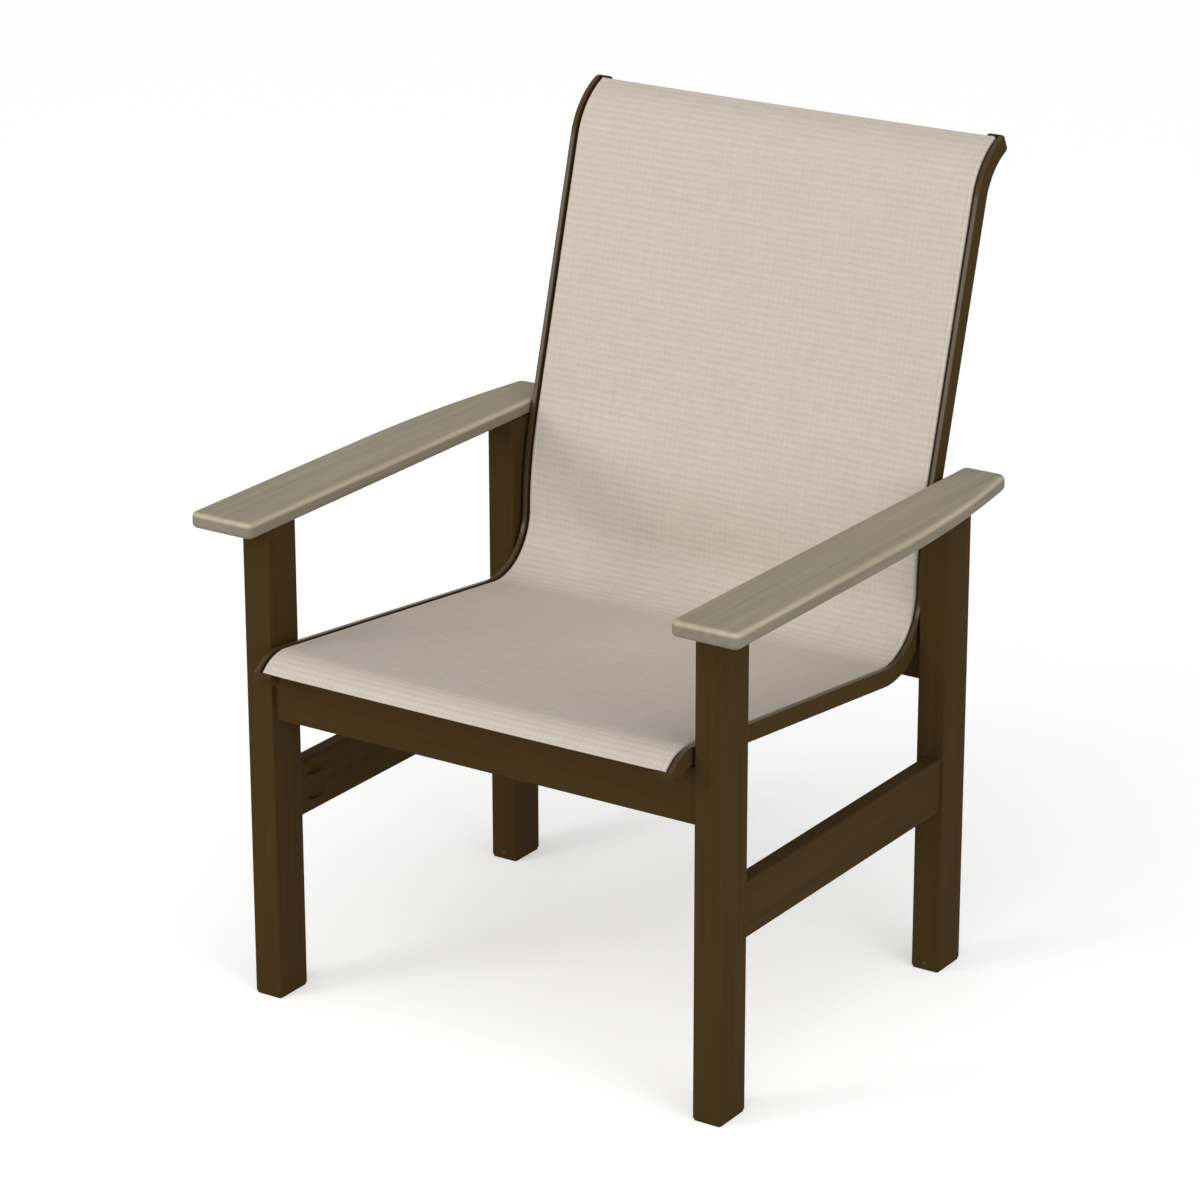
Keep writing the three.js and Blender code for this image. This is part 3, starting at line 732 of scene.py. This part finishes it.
def hollowAt(run):
    # How far the cloth sinks between the rails at the middle of the chair
    share = (run - slingRuns[0]) / (slingRuns[1] - slingRuns[0])
    shares, depths = sling["hollowShares"], sling["hollowDepths"]
    for i in range(1, len(shares)):
        if share <= shares[i]:
            blend = (1 - math.cos(math.pi * (share - shares[i - 1]) / (shares[i] - shares[i - 1]))) / 2
            return depths[i - 1] + (depths[i] - depths[i - 1]) * blend
    return depths[-1]


def acrossLine(hollow):
    # Half of the cloth's middle line, from the middle of the chair into the slot
    s, span = sling, rail["inner"]
    shares = [i / s["hollowSteps"] for i in range(s["hollowSteps"] + 1)]
    line = [(span * share, clothDepth + hollow * (1 - share ** 2)) for share in shares]
    r = s["tuckRadius"]
    tuckStart = span + rail["slotStart"] + s["thickness"] - r
    line += [(span + (tuckStart - span) * i / s["ledgeSteps"], clothDepth)
             for i in range(1, s["ledgeSteps"])]
    line += [(tuckStart + r * math.sin(a), clothDepth + r * (1 - math.cos(a)))
             for a in quarterTurn(s["tuckSteps"])]
    return line + [(line[-1][0], s["tuckEnd"])]


def beadLift(x):
    # Where the cloth turns down into the slot its two layers make a soft bead
    edge = rail["inner"] + rail["slotStart"] + sling["beadInset"]
    share = (abs(x) - edge + sling["beadWidth"]) / sling["beadWidth"]
    if not 0 < share < 1:
        return 0
    return sling["beadRaise"] * math.sin(math.pi * share) ** 2


def endHemDrop(run, x):
    # Each end of the cloth is turned under between the rails and sewn
    first, last = slingRuns
    inside = max(first + sling["endHem"] - run, run - last + sling["endHem"]) / sling["endHemStep"]
    between = (rail["inner"] - sling["hemFromRail"] - abs(x)) / sling["hemSideStep"]
    return sling["endHemThickness"] * min(max(inside, 0), 1) * min(max(between, 0), 1)


def clothRing(run):
    # The points round the cloth at one place on the rails, each with its place on the flat cloth
    half = acrossLine(hollowAt(run))
    line = [(-x, depth) for x, depth in reversed(half[1:])] + half
    spans = [0]
    for a, b in zip(line, line[1:]):
        spans.append(spans[-1] + math.hypot(b[0] - a[0], b[1] - a[1]))
    front, back = [], []
    for i, (x, depth) in enumerate(line):
        a, b = line[max(0, i - 1)], line[min(len(line) - 1, i + 1)]
        size = math.hypot(b[0] - a[0], b[1] - a[1])
        sideX, sideDepth = (b[1] - a[1]) / size, -(b[0] - a[0]) / size
        over = sling["thickness"] / 2 + beadLift(x)
        under = sling["thickness"] / 2 + endHemDrop(run, x)
        flat = (spans[i] - spans[-1] / 2, run)
        front.append((behind(run, depth + sideDepth * over, x + sideX * over), flat))
        back.append((behind(run, depth - sideDepth * under, x - sideX * under), flat))
    return front + back[::-1]


def makeSling():
    first, last = slingRuns
    hemEnds = [first + sling["endHem"], last - sling["endHem"]]
    hemSteps = [hemEnds[0] - sling["endHemStep"], hemEnds[1] + sling["endHemStep"]]
    runs = sorted(set(runSteps(first, last, sling["longStep"], sling["shortStep"]) + hemEnds + hemSteps))
    rings = [clothRing(run) for run in runs]
    points = [point for ring in rings for point, _ in ring]
    plan = [flat for ring in rings for _, flat in ring]
    around = len(rings[0])
    faces = ringFaces(len(rings), around)
    end = (len(rings) - 1) * around
    for i in range(around // 2 - 1):
        a, b, c, d = i, i + 1, around - 2 - i, around - 1 - i
        faces.append((b, a, d, c))
        faces.append((end + a, end + b, end + c, end + d))
    cloth = meshOf("slingCloth", points, faces)
    layer = cloth.uv_layers.new(name="clothPlan")
    for loop in cloth.loops:
        layer.data[loop.index].uv = plan[loop.vertex_index]
    piece = newObject("slingCloth", cloth)
    cloth.materials.append(clothWeave)
    smoothByAngle(piece, sling["crease"])
    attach(piece, "root")
    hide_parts("sling")


# Stitches of the two end hems, in a thread 0.44 mm thick, drawn coarser than the real one's 0.25 mm so
# that they show at all

stitch = {
    "sizes": {"Stitch Pitch": 4.2 * mm, "Stitch Length": 3.3 * mm, "Thread Radius": 0.22 * mm,
              "Sink": 0.3 * mm, "Rise": 0.14 * mm},
    "fromEdge": 13 * mm,
    "fromRail": 7 * mm,
    "threadSides": 6,
    "archSteps": 6,
    "pathSteps": 60,
    "crease": 70,
}


def makeStitchTree():
    tree, given, output = newTree("stitchesAlongPath", {
        "Path": "Object", "Outward": "Vector", "Material": "Material",
        **dict.fromkeys(stitch["sizes"], "Float")})

    def pointOf(x, z):
        return addNode(tree, "ShaderNodeCombineXYZ", {"X": x, "Z": z}).outputs["Vector"]

    # One stitch: a thread that leaves the cloth, arches over it and goes back in
    down = mathOf(tree, "MULTIPLY", given["Sink"], -1.0)
    arch = addNode(tree, "GeometryNodeCurveQuadraticBezier", {
        "Resolution": stitch["archSteps"],
        "Start": pointOf(mathOf(tree, "MULTIPLY", given["Stitch Length"], -0.5), down),
        "Middle": pointOf(0.0, mathOf(tree, "MULTIPLY_ADD", given["Rise"], 2.0, given["Sink"])),
        "End": pointOf(mathOf(tree, "MULTIPLY", given["Stitch Length"], 0.5), down)})
    section = addNode(tree, "GeometryNodeCurvePrimitiveCircle", {
        "Resolution": stitch["threadSides"], "Radius": given["Thread Radius"]})
    arched = addNode(tree, "GeometryNodeCurveToMesh", {
        "Curve": arch.outputs["Curve"], "Profile Curve": section.outputs["Curve"], "Fill Caps": True})

    # Its copies, turned along the path and upright on the cloth
    places = addNode(tree, "GeometryNodeCurveToPoints", {
        "mode": "LENGTH", "Curve": shapeOf(tree, given["Path"]), "Length": given["Stitch Pitch"]})
    forward = addNode(tree, "FunctionNodeAlignRotationToVector", {
        "axis": "X", "Vector": places.outputs["Tangent"]})
    upright = addNode(tree, "FunctionNodeAlignRotationToVector", {
        "axis": "Z", "pivot_axis": "X", "Rotation": forward.outputs["Rotation"],
        "Vector": given["Outward"]})
    copies = addNode(tree, "GeometryNodeInstanceOnPoints", {
        "Points": places.outputs["Points"], "Instance": arched.outputs["Mesh"],
        "Rotation": upright.outputs["Rotation"]})
    return endTree(tree, output, copies.outputs["Instances"], given["Material"])


def makeHemStitches(name, run, under):
    half, steps = sling["thickness"] / 2, stitch["pathSteps"]
    reach = rail["inner"] - stitch["fromRail"]
    faceDepth = clothDepth + (half + sling["endHemThickness"] if under else -half)
    places = []
    for x in [reach * (2 * i / steps - 1) for i in range(steps + 1)]:
        places.append(behind(run, faceDepth + hollowAt(run) * (1 - (x / rail["inner"]) ** 2), x))
    angle = profileAt(run)[2]
    piece = bakeTree(name, stitchTree, {
        "Path": polyCurve(name + "Path", places, False),
        "Outward": Vector((0.0, -math.sin(angle), math.cos(angle))) * (-1 if under else 1),
        "Material": hemThread, **stitch["sizes"]})
    smoothByAngle(piece, stitch["crease"])
    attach(piece, "root")
    return piece


stitchTree = makeStitchTree()
seamRuns = {"Front": slingRuns[0] + stitch["fromEdge"], "Top": slingRuns[1] - stitch["fromEdge"]}
hemStitches = [makeHemStitches("hemStitches" + end + face, run, face == "Under")
               for end, run in seamRuns.items() for face in ("Over", "Under")]
makeSling()
print("sling stretched and hemmed")


# Rail caps

railCap = {
    "top": {"thickness": 4 * mm, "fillet": 3 * mm},
    "front": {"thickness": 5 * mm, "fillet": 2.2 * mm},
    "corner": 3.4 * mm,
    "leastCorner": 0.2 * mm,
    "flatInset": 0.4 * mm,
    "steps": 6,
    "crease": 40,
}


def makeRailCap(side, end):
    # A moulded end cap: the rail's own outline, domed towards the outside
    thickness, dome, steps = railCap[end]["thickness"], railCap[end]["fillet"], railCap["steps"]
    run, way = (profileLength, 1) if end == "top" else (0, -1)
    angle = profileAt(run)[2]
    forward = Vector((0, math.cos(angle), math.sin(angle))) * way
    right, down = Vector((1, 0)), Vector((0, 1))
    w, d = rail["width"], rail["depth"]
    corners = ((Vector((0, 0)), down, right), (Vector((w, 0)), -right, down),
               (Vector((w, d)), -down, -right), (Vector((0, d)), right, -down))
    # Each ring is a distance from the rail's end and an inset
    rings = [(0.0, 0.0), (thickness - dome, 0.0)]
    rings += [(thickness - dome * (1 - math.sin(a)), dome * (1 - math.cos(a)))
              for a in quarterTurn(steps)[1:]]
    rings.append((thickness, dome + railCap["flatInset"]))
    points = []
    for out, inset in rings:
        # Each ring keeps the same count of points, so its corners shrink with it
        radius = max(railCap["corner"] - inset, railCap["leastCorner"])
        for corner, before, after in corners:
            for q in fillet(corner + (before + after) * inset, before, after, radius, steps):
                points.append(behind(run, q.y, sides[side] * (rail["inner"] + q.x)) + forward * out)
    around = len(points) // len(rings)
    name = "railCap" + side + end.capitalize()
    faces = endFaces(len(rings), around) + ringFaces(len(rings), around)
    piece = newObject(name, meshOf(name, points, faces))
    faceOutwards(piece.data)
    piece.data.materials.append(brownNylon)
    smoothByAngle(piece, railCap["crease"])
    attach(piece, "root")
    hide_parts("rail_cap_" + side.lower() + "_" + end)


for side in sides:
    for end in ("front", "top"):
        makeRailCap(side, end)
print("rail caps moulded")


# Armrests

arm = {
    "top": 592 * mm,
    "thickness": 19 * mm,
    "round": 6 * mm,
    "corner": 10 * mm,
    "front": -305.75 * mm,
    "rear": 311.75 * mm,
    "innerFront": 274.5 * mm,
    "innerRear": 280.5 * mm,
    "outerFront": 359.5 * mm,
    "outerWidest": 360.5 * mm,
    "tailLength": 290 * mm,
    "tailRadius": 1735 * mm,
    "brace": 0.5 * mm,
    "roundSteps": 7,
    "cornerSteps": 8,
    "tailSteps": 16,
    "crease": 30,
}


def softCorner(start, corner, end):
    shares = [i / arm["cornerSteps"] for i in range(arm["cornerSteps"] + 1)]
    return [start * (1 - t) ** 2 + corner * 2 * t * (1 - t) + end * t ** 2 for t in shares]


def tailPoint(angle):
    # Towards the rear the outer edge draws in along a wide arc
    return Vector((arm["outerWidest"] - arm["tailRadius"] * (1 - math.cos(angle)),
                   arm["rear"] - arm["tailLength"] + arm["tailRadius"] * math.sin(angle)))


def armOutline():
    across, along = Vector((arm["corner"], 0)), Vector((0, arm["corner"]))
    turn = math.asin(arm["tailLength"] / arm["tailRadius"])
    reach = turn * (1 - arm["corner"] / arm["tailLength"])
    frontInner = Vector((arm["innerFront"], arm["front"]))
    frontOuter = Vector((arm["outerFront"], arm["front"]))
    rearOuter, rearInner = tailPoint(turn), Vector((arm["innerRear"], arm["rear"]))
    points = softCorner(frontInner + along, frontInner, frontInner + across)
    points += softCorner(frontOuter - across, frontOuter, frontOuter + along)
    points += [tailPoint(reach * i / arm["tailSteps"]) for i in range(arm["tailSteps"])]
    points += softCorner(tailPoint(reach), rearOuter, rearOuter - across)
    points += softCorner(rearInner + across, rearInner, rearInner - along)
    return points


def makeArmrest(side):
    outline = armOutline()
    count = len(outline)
    normals = []
    for i in range(count):
        along = (outline[(i + 1) % count] - outline[i - 1]).normalized()
        normals.append(Vector((along.y, -along.x)))
    r, brace, angles = arm["round"], arm["brace"], quarterTurn(arm["roundSteps"])
    low, high = arm["top"] - arm["thickness"], arm["top"]
    # Each ring is an inset, a height and how far the surface has turned from the top (0) to the side (1)
    rings = [(r + brace, low, 1)]
    rings += [(r * (1 - math.sin(a)), low + r * (1 - math.cos(a)), 1) for a in angles]
    rings += [(0, low + r + brace, 1), (0, high - r - brace, 1)]
    rings += [(r * (1 - math.cos(a)), high - r * (1 - math.sin(a)), 1 - a / angles[-1]) for a in angles]
    rings.append((r + brace, high, 0))
    points, turns = [], []
    for inset, z, turn in rings:
        for p, n in zip(outline, normals):
            q = p - n * inset
            points.append((sides[side] * q.x, q.y + legMiddleY, z))
            turns.append(turn)
    faces = endFaces(len(rings), count) + ringFaces(len(rings), count)
    piece = newObject("armrestBoard" + side, meshOf("armrestBoard" + side, points, faces))
    # The turn sets where the driftwood finish paints its edge highlight and its side shade
    piece.data.attributes.new("edgeTurn", "FLOAT", "POINT").data.foreach_set("value", turns)
    faceOutwards(piece.data)
    piece.data.materials.append(armWood)
    smoothByAngle(piece, arm["crease"])
    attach(piece, "root")
    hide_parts("armrest_" + side.lower())


for side in sides:
    makeArmrest(side)
print("armrests shaped")


# Screws, bolts and pins: one tree for all, set on the places that the CAD solids give

fasteners = {
    "rail_bolt_": {
        "name": "railBolts", "material": steel, "rimShare": 0.35, "driveSides": 6,
        "sizes": {"Head Radius": 5.5 * mm, "Head Height": 3.4 * mm, "Shank Radius": 3 * mm,
                  "Point Length": 1 * mm, "Drive Radius": 2.3 * mm, "Drive Depth": 1.9 * mm},
    },
    "stretcher_screw_": {
        "name": "stretcherScrews", "material": steel, "rimShare": 0.5, "driveSides": 4,
        "sizes": {"Head Radius": 4.2 * mm, "Head Height": 2.4 * mm, "Shank Radius": 2 * mm,
                  "Point Length": 4 * mm, "Drive Radius": 1.9 * mm, "Drive Depth": 1.7 * mm},
    },
    "foot_pin_": {
        "name": "footPins", "material": pinCoat, "rimShare": 0.8, "driveSides": 4,
        "sizes": {"Head Radius": 2.4 * mm, "Head Height": 1.1 * mm, "Shank Radius": 1.3 * mm,
                  "Point Length": 3 * mm, "Drive Radius": 1.1 * mm, "Drive Depth": 0.7 * mm},
    },
}
for stem in ("apron_screw_", "crossbar_screw_"):
    fasteners[stem] = dict(fasteners["stretcher_screw_"], name=stem.split("_")[0] + "Screws")
turned = {
    "headSides": 32,
    "headRings": 6,
    "shankSides": 20,
    "tipShare": 0.15,
    "headZone": 1.5,  # in head heights: within this the end with the head is the wider one
    "crease": 35,
}


def makeFastenerTree():
    sizes = [*fasteners["rail_bolt_"]["sizes"], "Rim Height", "Shank Length"]
    tree, given, output = newTree("fastenersAtPlaces", {
        "Places": "Object", "Drive Sides": "Int", "Material": "Material",
        **dict.fromkeys(sizes, "Float")})

    def product(first, second):
        return mathOf(tree, "MULTIPLY", first, second)

    def less(first, second):
        return mathOf(tree, "SUBTRACT", first, second)

    def raised(geometry, height, chosen=True):
        offset = addNode(tree, "ShaderNodeCombineXYZ", {"Z": height}).outputs["Vector"]
        return addNode(tree, "GeometryNodeSetPosition", {
            "Geometry": geometry, "Selection": chosen, "Offset": offset}).outputs["Geometry"]

    # The head: its seat at z = 0, the shank towards +z and the crown towards -z
    rimMiddle = product(given["Rim Height"], -0.5)
    disc = addNode(tree, "GeometryNodeMeshCylinder", {
        "Vertices": turned["headSides"], "Side Segments": 1, "Fill Segments": turned["headRings"],
        "Radius": given["Head Radius"], "Depth": given["Rim Height"]})
    position = addNode(tree, "GeometryNodeInputPosition").outputs["Position"]
    place = addNode(tree, "ShaderNodeSeparateXYZ", {"Vector": position}).outputs
    squares = mathOf(tree, "ADD", product(place["X"], place["X"]), product(place["Y"], place["Y"]))
    share = mathOf(tree, "DIVIDE", squares, product(given["Head Radius"], given["Head Radius"]))
    crown = product(less(given["Head Height"], given["Rim Height"]), less(share, 1.0))
    top = mathOf(tree, "LESS_THAN", place["Z"], rimMiddle)
    domed = raised(raised(disc.outputs["Mesh"], rimMiddle), crown, top)

    # The recess for the driver
    drive = addNode(tree, "GeometryNodeMeshCylinder", {
        "Vertices": given["Drive Sides"], "Radius": given["Drive Radius"],
        "Depth": product(given["Drive Depth"], 2.0)})
    sunk = raised(drive.outputs["Mesh"], product(given["Head Height"], -1.0))
    head = addNode(tree, "GeometryNodeMeshBoolean", {
        "operation": "DIFFERENCE", "solver": "EXACT", "Mesh 1": domed, "Mesh 2": sunk})

    shank = addNode(tree, "GeometryNodeMeshCylinder", {
        "Vertices": turned["shankSides"],
        "Radius": given["Shank Radius"], "Depth": given["Shank Length"]})
    point = addNode(tree, "GeometryNodeMeshCone", {
        "Vertices": turned["shankSides"], "Radius Bottom": given["Shank Radius"],
        "Radius Top": product(given["Shank Radius"], turned["tipShare"]),
        "Depth": given["Point Length"]})
    joined = addNode(tree, "GeometryNodeJoinGeometry")
    for part in (head.outputs["Mesh"],
                 raised(shank.outputs["Mesh"], product(given["Shank Length"], 0.5)),
                 raised(point.outputs["Mesh"], given["Shank Length"])):
        setInputs(tree, joined, {"Geometry": part})

    axis = addNode(tree, "GeometryNodeInputNamedAttribute", {
        "data_type": "FLOAT_VECTOR", "Name": "axis"})
    pointing = addNode(tree, "FunctionNodeAlignRotationToVector", {
        "axis": "Z", "Vector": axis.outputs["Attribute"]})
    copies = addNode(tree, "GeometryNodeInstanceOnPoints", {
        "Points": shapeOf(tree, given["Places"]), "Instance": joined.outputs["Geometry"],
        "Rotation": pointing.outputs["Rotation"]})
    return endTree(tree, output, copies.outputs["Instances"], given["Material"])


def placeOf(node, headHeight):
    # The seat under a fastener's head, the way it points and its length below the head
    points = np.array([v.co for v in node.data.vertices])
    middle = points.mean(axis=0)
    axis = np.linalg.eigh(np.cov((points - middle).T))[1][:, 2]  # the way in which it is longest
    along = (points - middle) @ axis
    away = np.linalg.norm(points - middle - np.outer(along, axis), axis=1)
    nearEnd = turned["headZone"] * headHeight
    if away[along > along.max() - nearEnd].max() > away[along < along.min() + nearEnd].max():
        axis, along = -axis, -along
    # The shaft's own centre line: the middle of its box across the axis
    across = points - np.outer(along, axis)
    offset = (across.max(axis=0) + across.min(axis=0)) / 2 - middle
    offset -= axis * (offset @ axis)
    start = along.min() + headHeight
    return Vector(middle + offset + axis * start), Vector(axis), along.max() - start


def makeFasteners(stem, kind):
    names = sorted(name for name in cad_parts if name.startswith(stem))
    sizes = kind["sizes"]
    places = [placeOf(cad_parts[name], sizes["Head Height"]) for name in names]
    seats = newObject(kind["name"] + "Places", meshOf(kind["name"], [p for p, _, _ in places], []))
    axes = seats.data.attributes.new("axis", "FLOAT_VECTOR", "POINT")
    axes.data.foreach_set("vector", [value for _, axis, _ in places for value in axis])
    length = min(length for _, _, length in places)
    piece = bakeTree(kind["name"], fastenerTree, {
        "Places": seats, "Rim Height": sizes["Head Height"] * kind["rimShare"],
        "Shank Length": length - sizes["Point Length"], "Drive Sides": kind["driveSides"],
        "Material": kind["material"], **sizes})
    smoothByAngle(piece, turned["crease"])
    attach(piece, "root")
    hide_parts(*names)
    print(kind["name"], len(names), "of", round(length / mm, 2), "mm")


fastenerTree = makeFastenerTree()
for stem, kind in fasteners.items():
    makeFasteners(stem, kind)
print("fasteners set")


# Camera, lights and floor

photoCamera = {
    "place": (2.60884, -3.94919, 2.18202),  # from the legs' middle, on the floor
    "right": (0.833341, 0.552757, -0.001592),
    "up": (-0.187109, 0.284796, 0.94015),
    "back": (0.520128, -0.783168, 0.340758),
    "lens": 133.21,
    "sensor": 36.0,
    "farEnd": 100,
}


def placeCamera():
    camera = bpy.data.cameras.new("photoCamera")
    camera.lens = photoCamera["lens"]
    camera.sensor_width = photoCamera["sensor"]
    camera.clip_end = photoCamera["farEnd"]
    holder = newObject("photoCamera", camera)
    turn = Matrix([photoCamera["right"], photoCamera["up"], photoCamera["back"]]).transposed().to_4x4()
    place = Vector(photoCamera["place"]) + Vector((0, legMiddleY, 0))
    holder.matrix_world = Matrix.Translation(place) @ turn
    scene.camera = holder


studio = {
    "ambient": 0.22,
    "tentStrength": 1.28,
    "tentSharpness": 2.0,
    "tentTurn": 28,  # degrees from the front to the chair's right
    "tentRise": 45,
    "aim": (0, 0, 0.55),
    "sheenPlace": (-1.79, -2.8, 1.42),  # where the rails' front lips mirror it to the camera
    "sheenSize": (1.1, 0.9),
    "sheenPower": 29,
    "sidePlace": (3.4, -1.2, 1.0),
    "sideSize": (1.8, 1.8),
    "sidePower": 28,
    "floorHalf": 30,
    "floorTone": 0.85,
    "floorRoughness": 0.9,
    "floorLift": 0.4,
}
white = (1, 1, 1, 1)


def placeSoftbox(name):
    lamp = bpy.data.lights.new(name + "Softbox", "AREA")
    lamp.shape = "RECTANGLE"
    lamp.size, lamp.size_y = studio[name + "Size"]
    lamp.energy = studio[name + "Power"]
    holder = newObject(name + "Softbox", lamp)
    place = Vector(studio[name + "Place"])
    holder.location = place
    holder.rotation_euler = (Vector(studio["aim"]) - place).to_track_quat("-Z", "Y").to_euler()


def backgroundRays(tree):
    # 1 where the studio is seen straight, in a reflection or through glass
    rays = addNode(tree, "ShaderNodeLightPath").outputs
    seen = mathOf(tree, "MAXIMUM", rays["Is Camera Ray"], rays["Is Glossy Ray"])
    return mathOf(tree, "MAXIMUM", seen, rays["Is Transmission Ray"])


def lightStudio():
    # A light tent: brightest high at the front and fading evenly away from there
    world = bpy.data.worlds.new("studioTent")
    scene.world = world
    world.use_nodes = True
    tree = world.node_tree
    tree.nodes.clear()
    turn, rise = math.radians(studio["tentTurn"]), math.radians(studio["tentRise"])
    brightest = (math.sin(turn) * math.cos(rise), -math.cos(turn) * math.cos(rise), math.sin(rise))
    direction = addNode(tree, "ShaderNodeTexCoord").outputs["Generated"]
    facing = addNode(tree, "ShaderNodeVectorMath", {
        "operation": "DOT_PRODUCT", 0: direction, 1: brightest})
    front = mathOf(tree, "MAXIMUM", facing.outputs["Value"], 0.0)
    lobe = mathOf(tree, "POWER", front, studio["tentSharpness"])
    strength = mathOf(tree, "MULTIPLY_ADD", lobe, studio["tentStrength"], studio["ambient"])
    soft = addNode(tree, "ShaderNodeBackground", {"Color": white, "Strength": strength})
    plain = addNode(tree, "ShaderNodeBackground", {"Color": white, "Strength": 1.0})
    seen = addNode(tree, "ShaderNodeMixShader", {
        0: backgroundRays(tree), 1: soft.outputs["Background"], 2: plain.outputs["Background"]})
    addNode(tree, "ShaderNodeOutputWorld", {"Surface": seen.outputs["Shader"]})
    placeSoftbox("sheen")
    placeSoftbox("side")


def layFloor():
    material, tree, shader = startMaterial("paleStudioFloor")
    setInputs(tree, shader, {
        "Base Color": (*[studio["floorTone"]] * 3, 1),
        "Roughness": studio["floorRoughness"],
        "Specular IOR Level": 0.0,
        "Emission Color": white,
        "Emission Strength": mathOf(tree, "MULTIPLY", backgroundRays(tree), studio["floorLift"]),
    })
    half = studio["floorHalf"]
    corners = [(-half, -half, 0), (half, -half, 0), (half, half, 0), (-half, half, 0)]
    floor = newObject("studioFloor", meshOf("studioFloor", corners, [(0, 1, 2, 3)]))
    floor.data.materials.append(material)


placeCamera()
lightStudio()
layFloor()
scene.view_settings.view_transform = "Standard"
print("studio set")
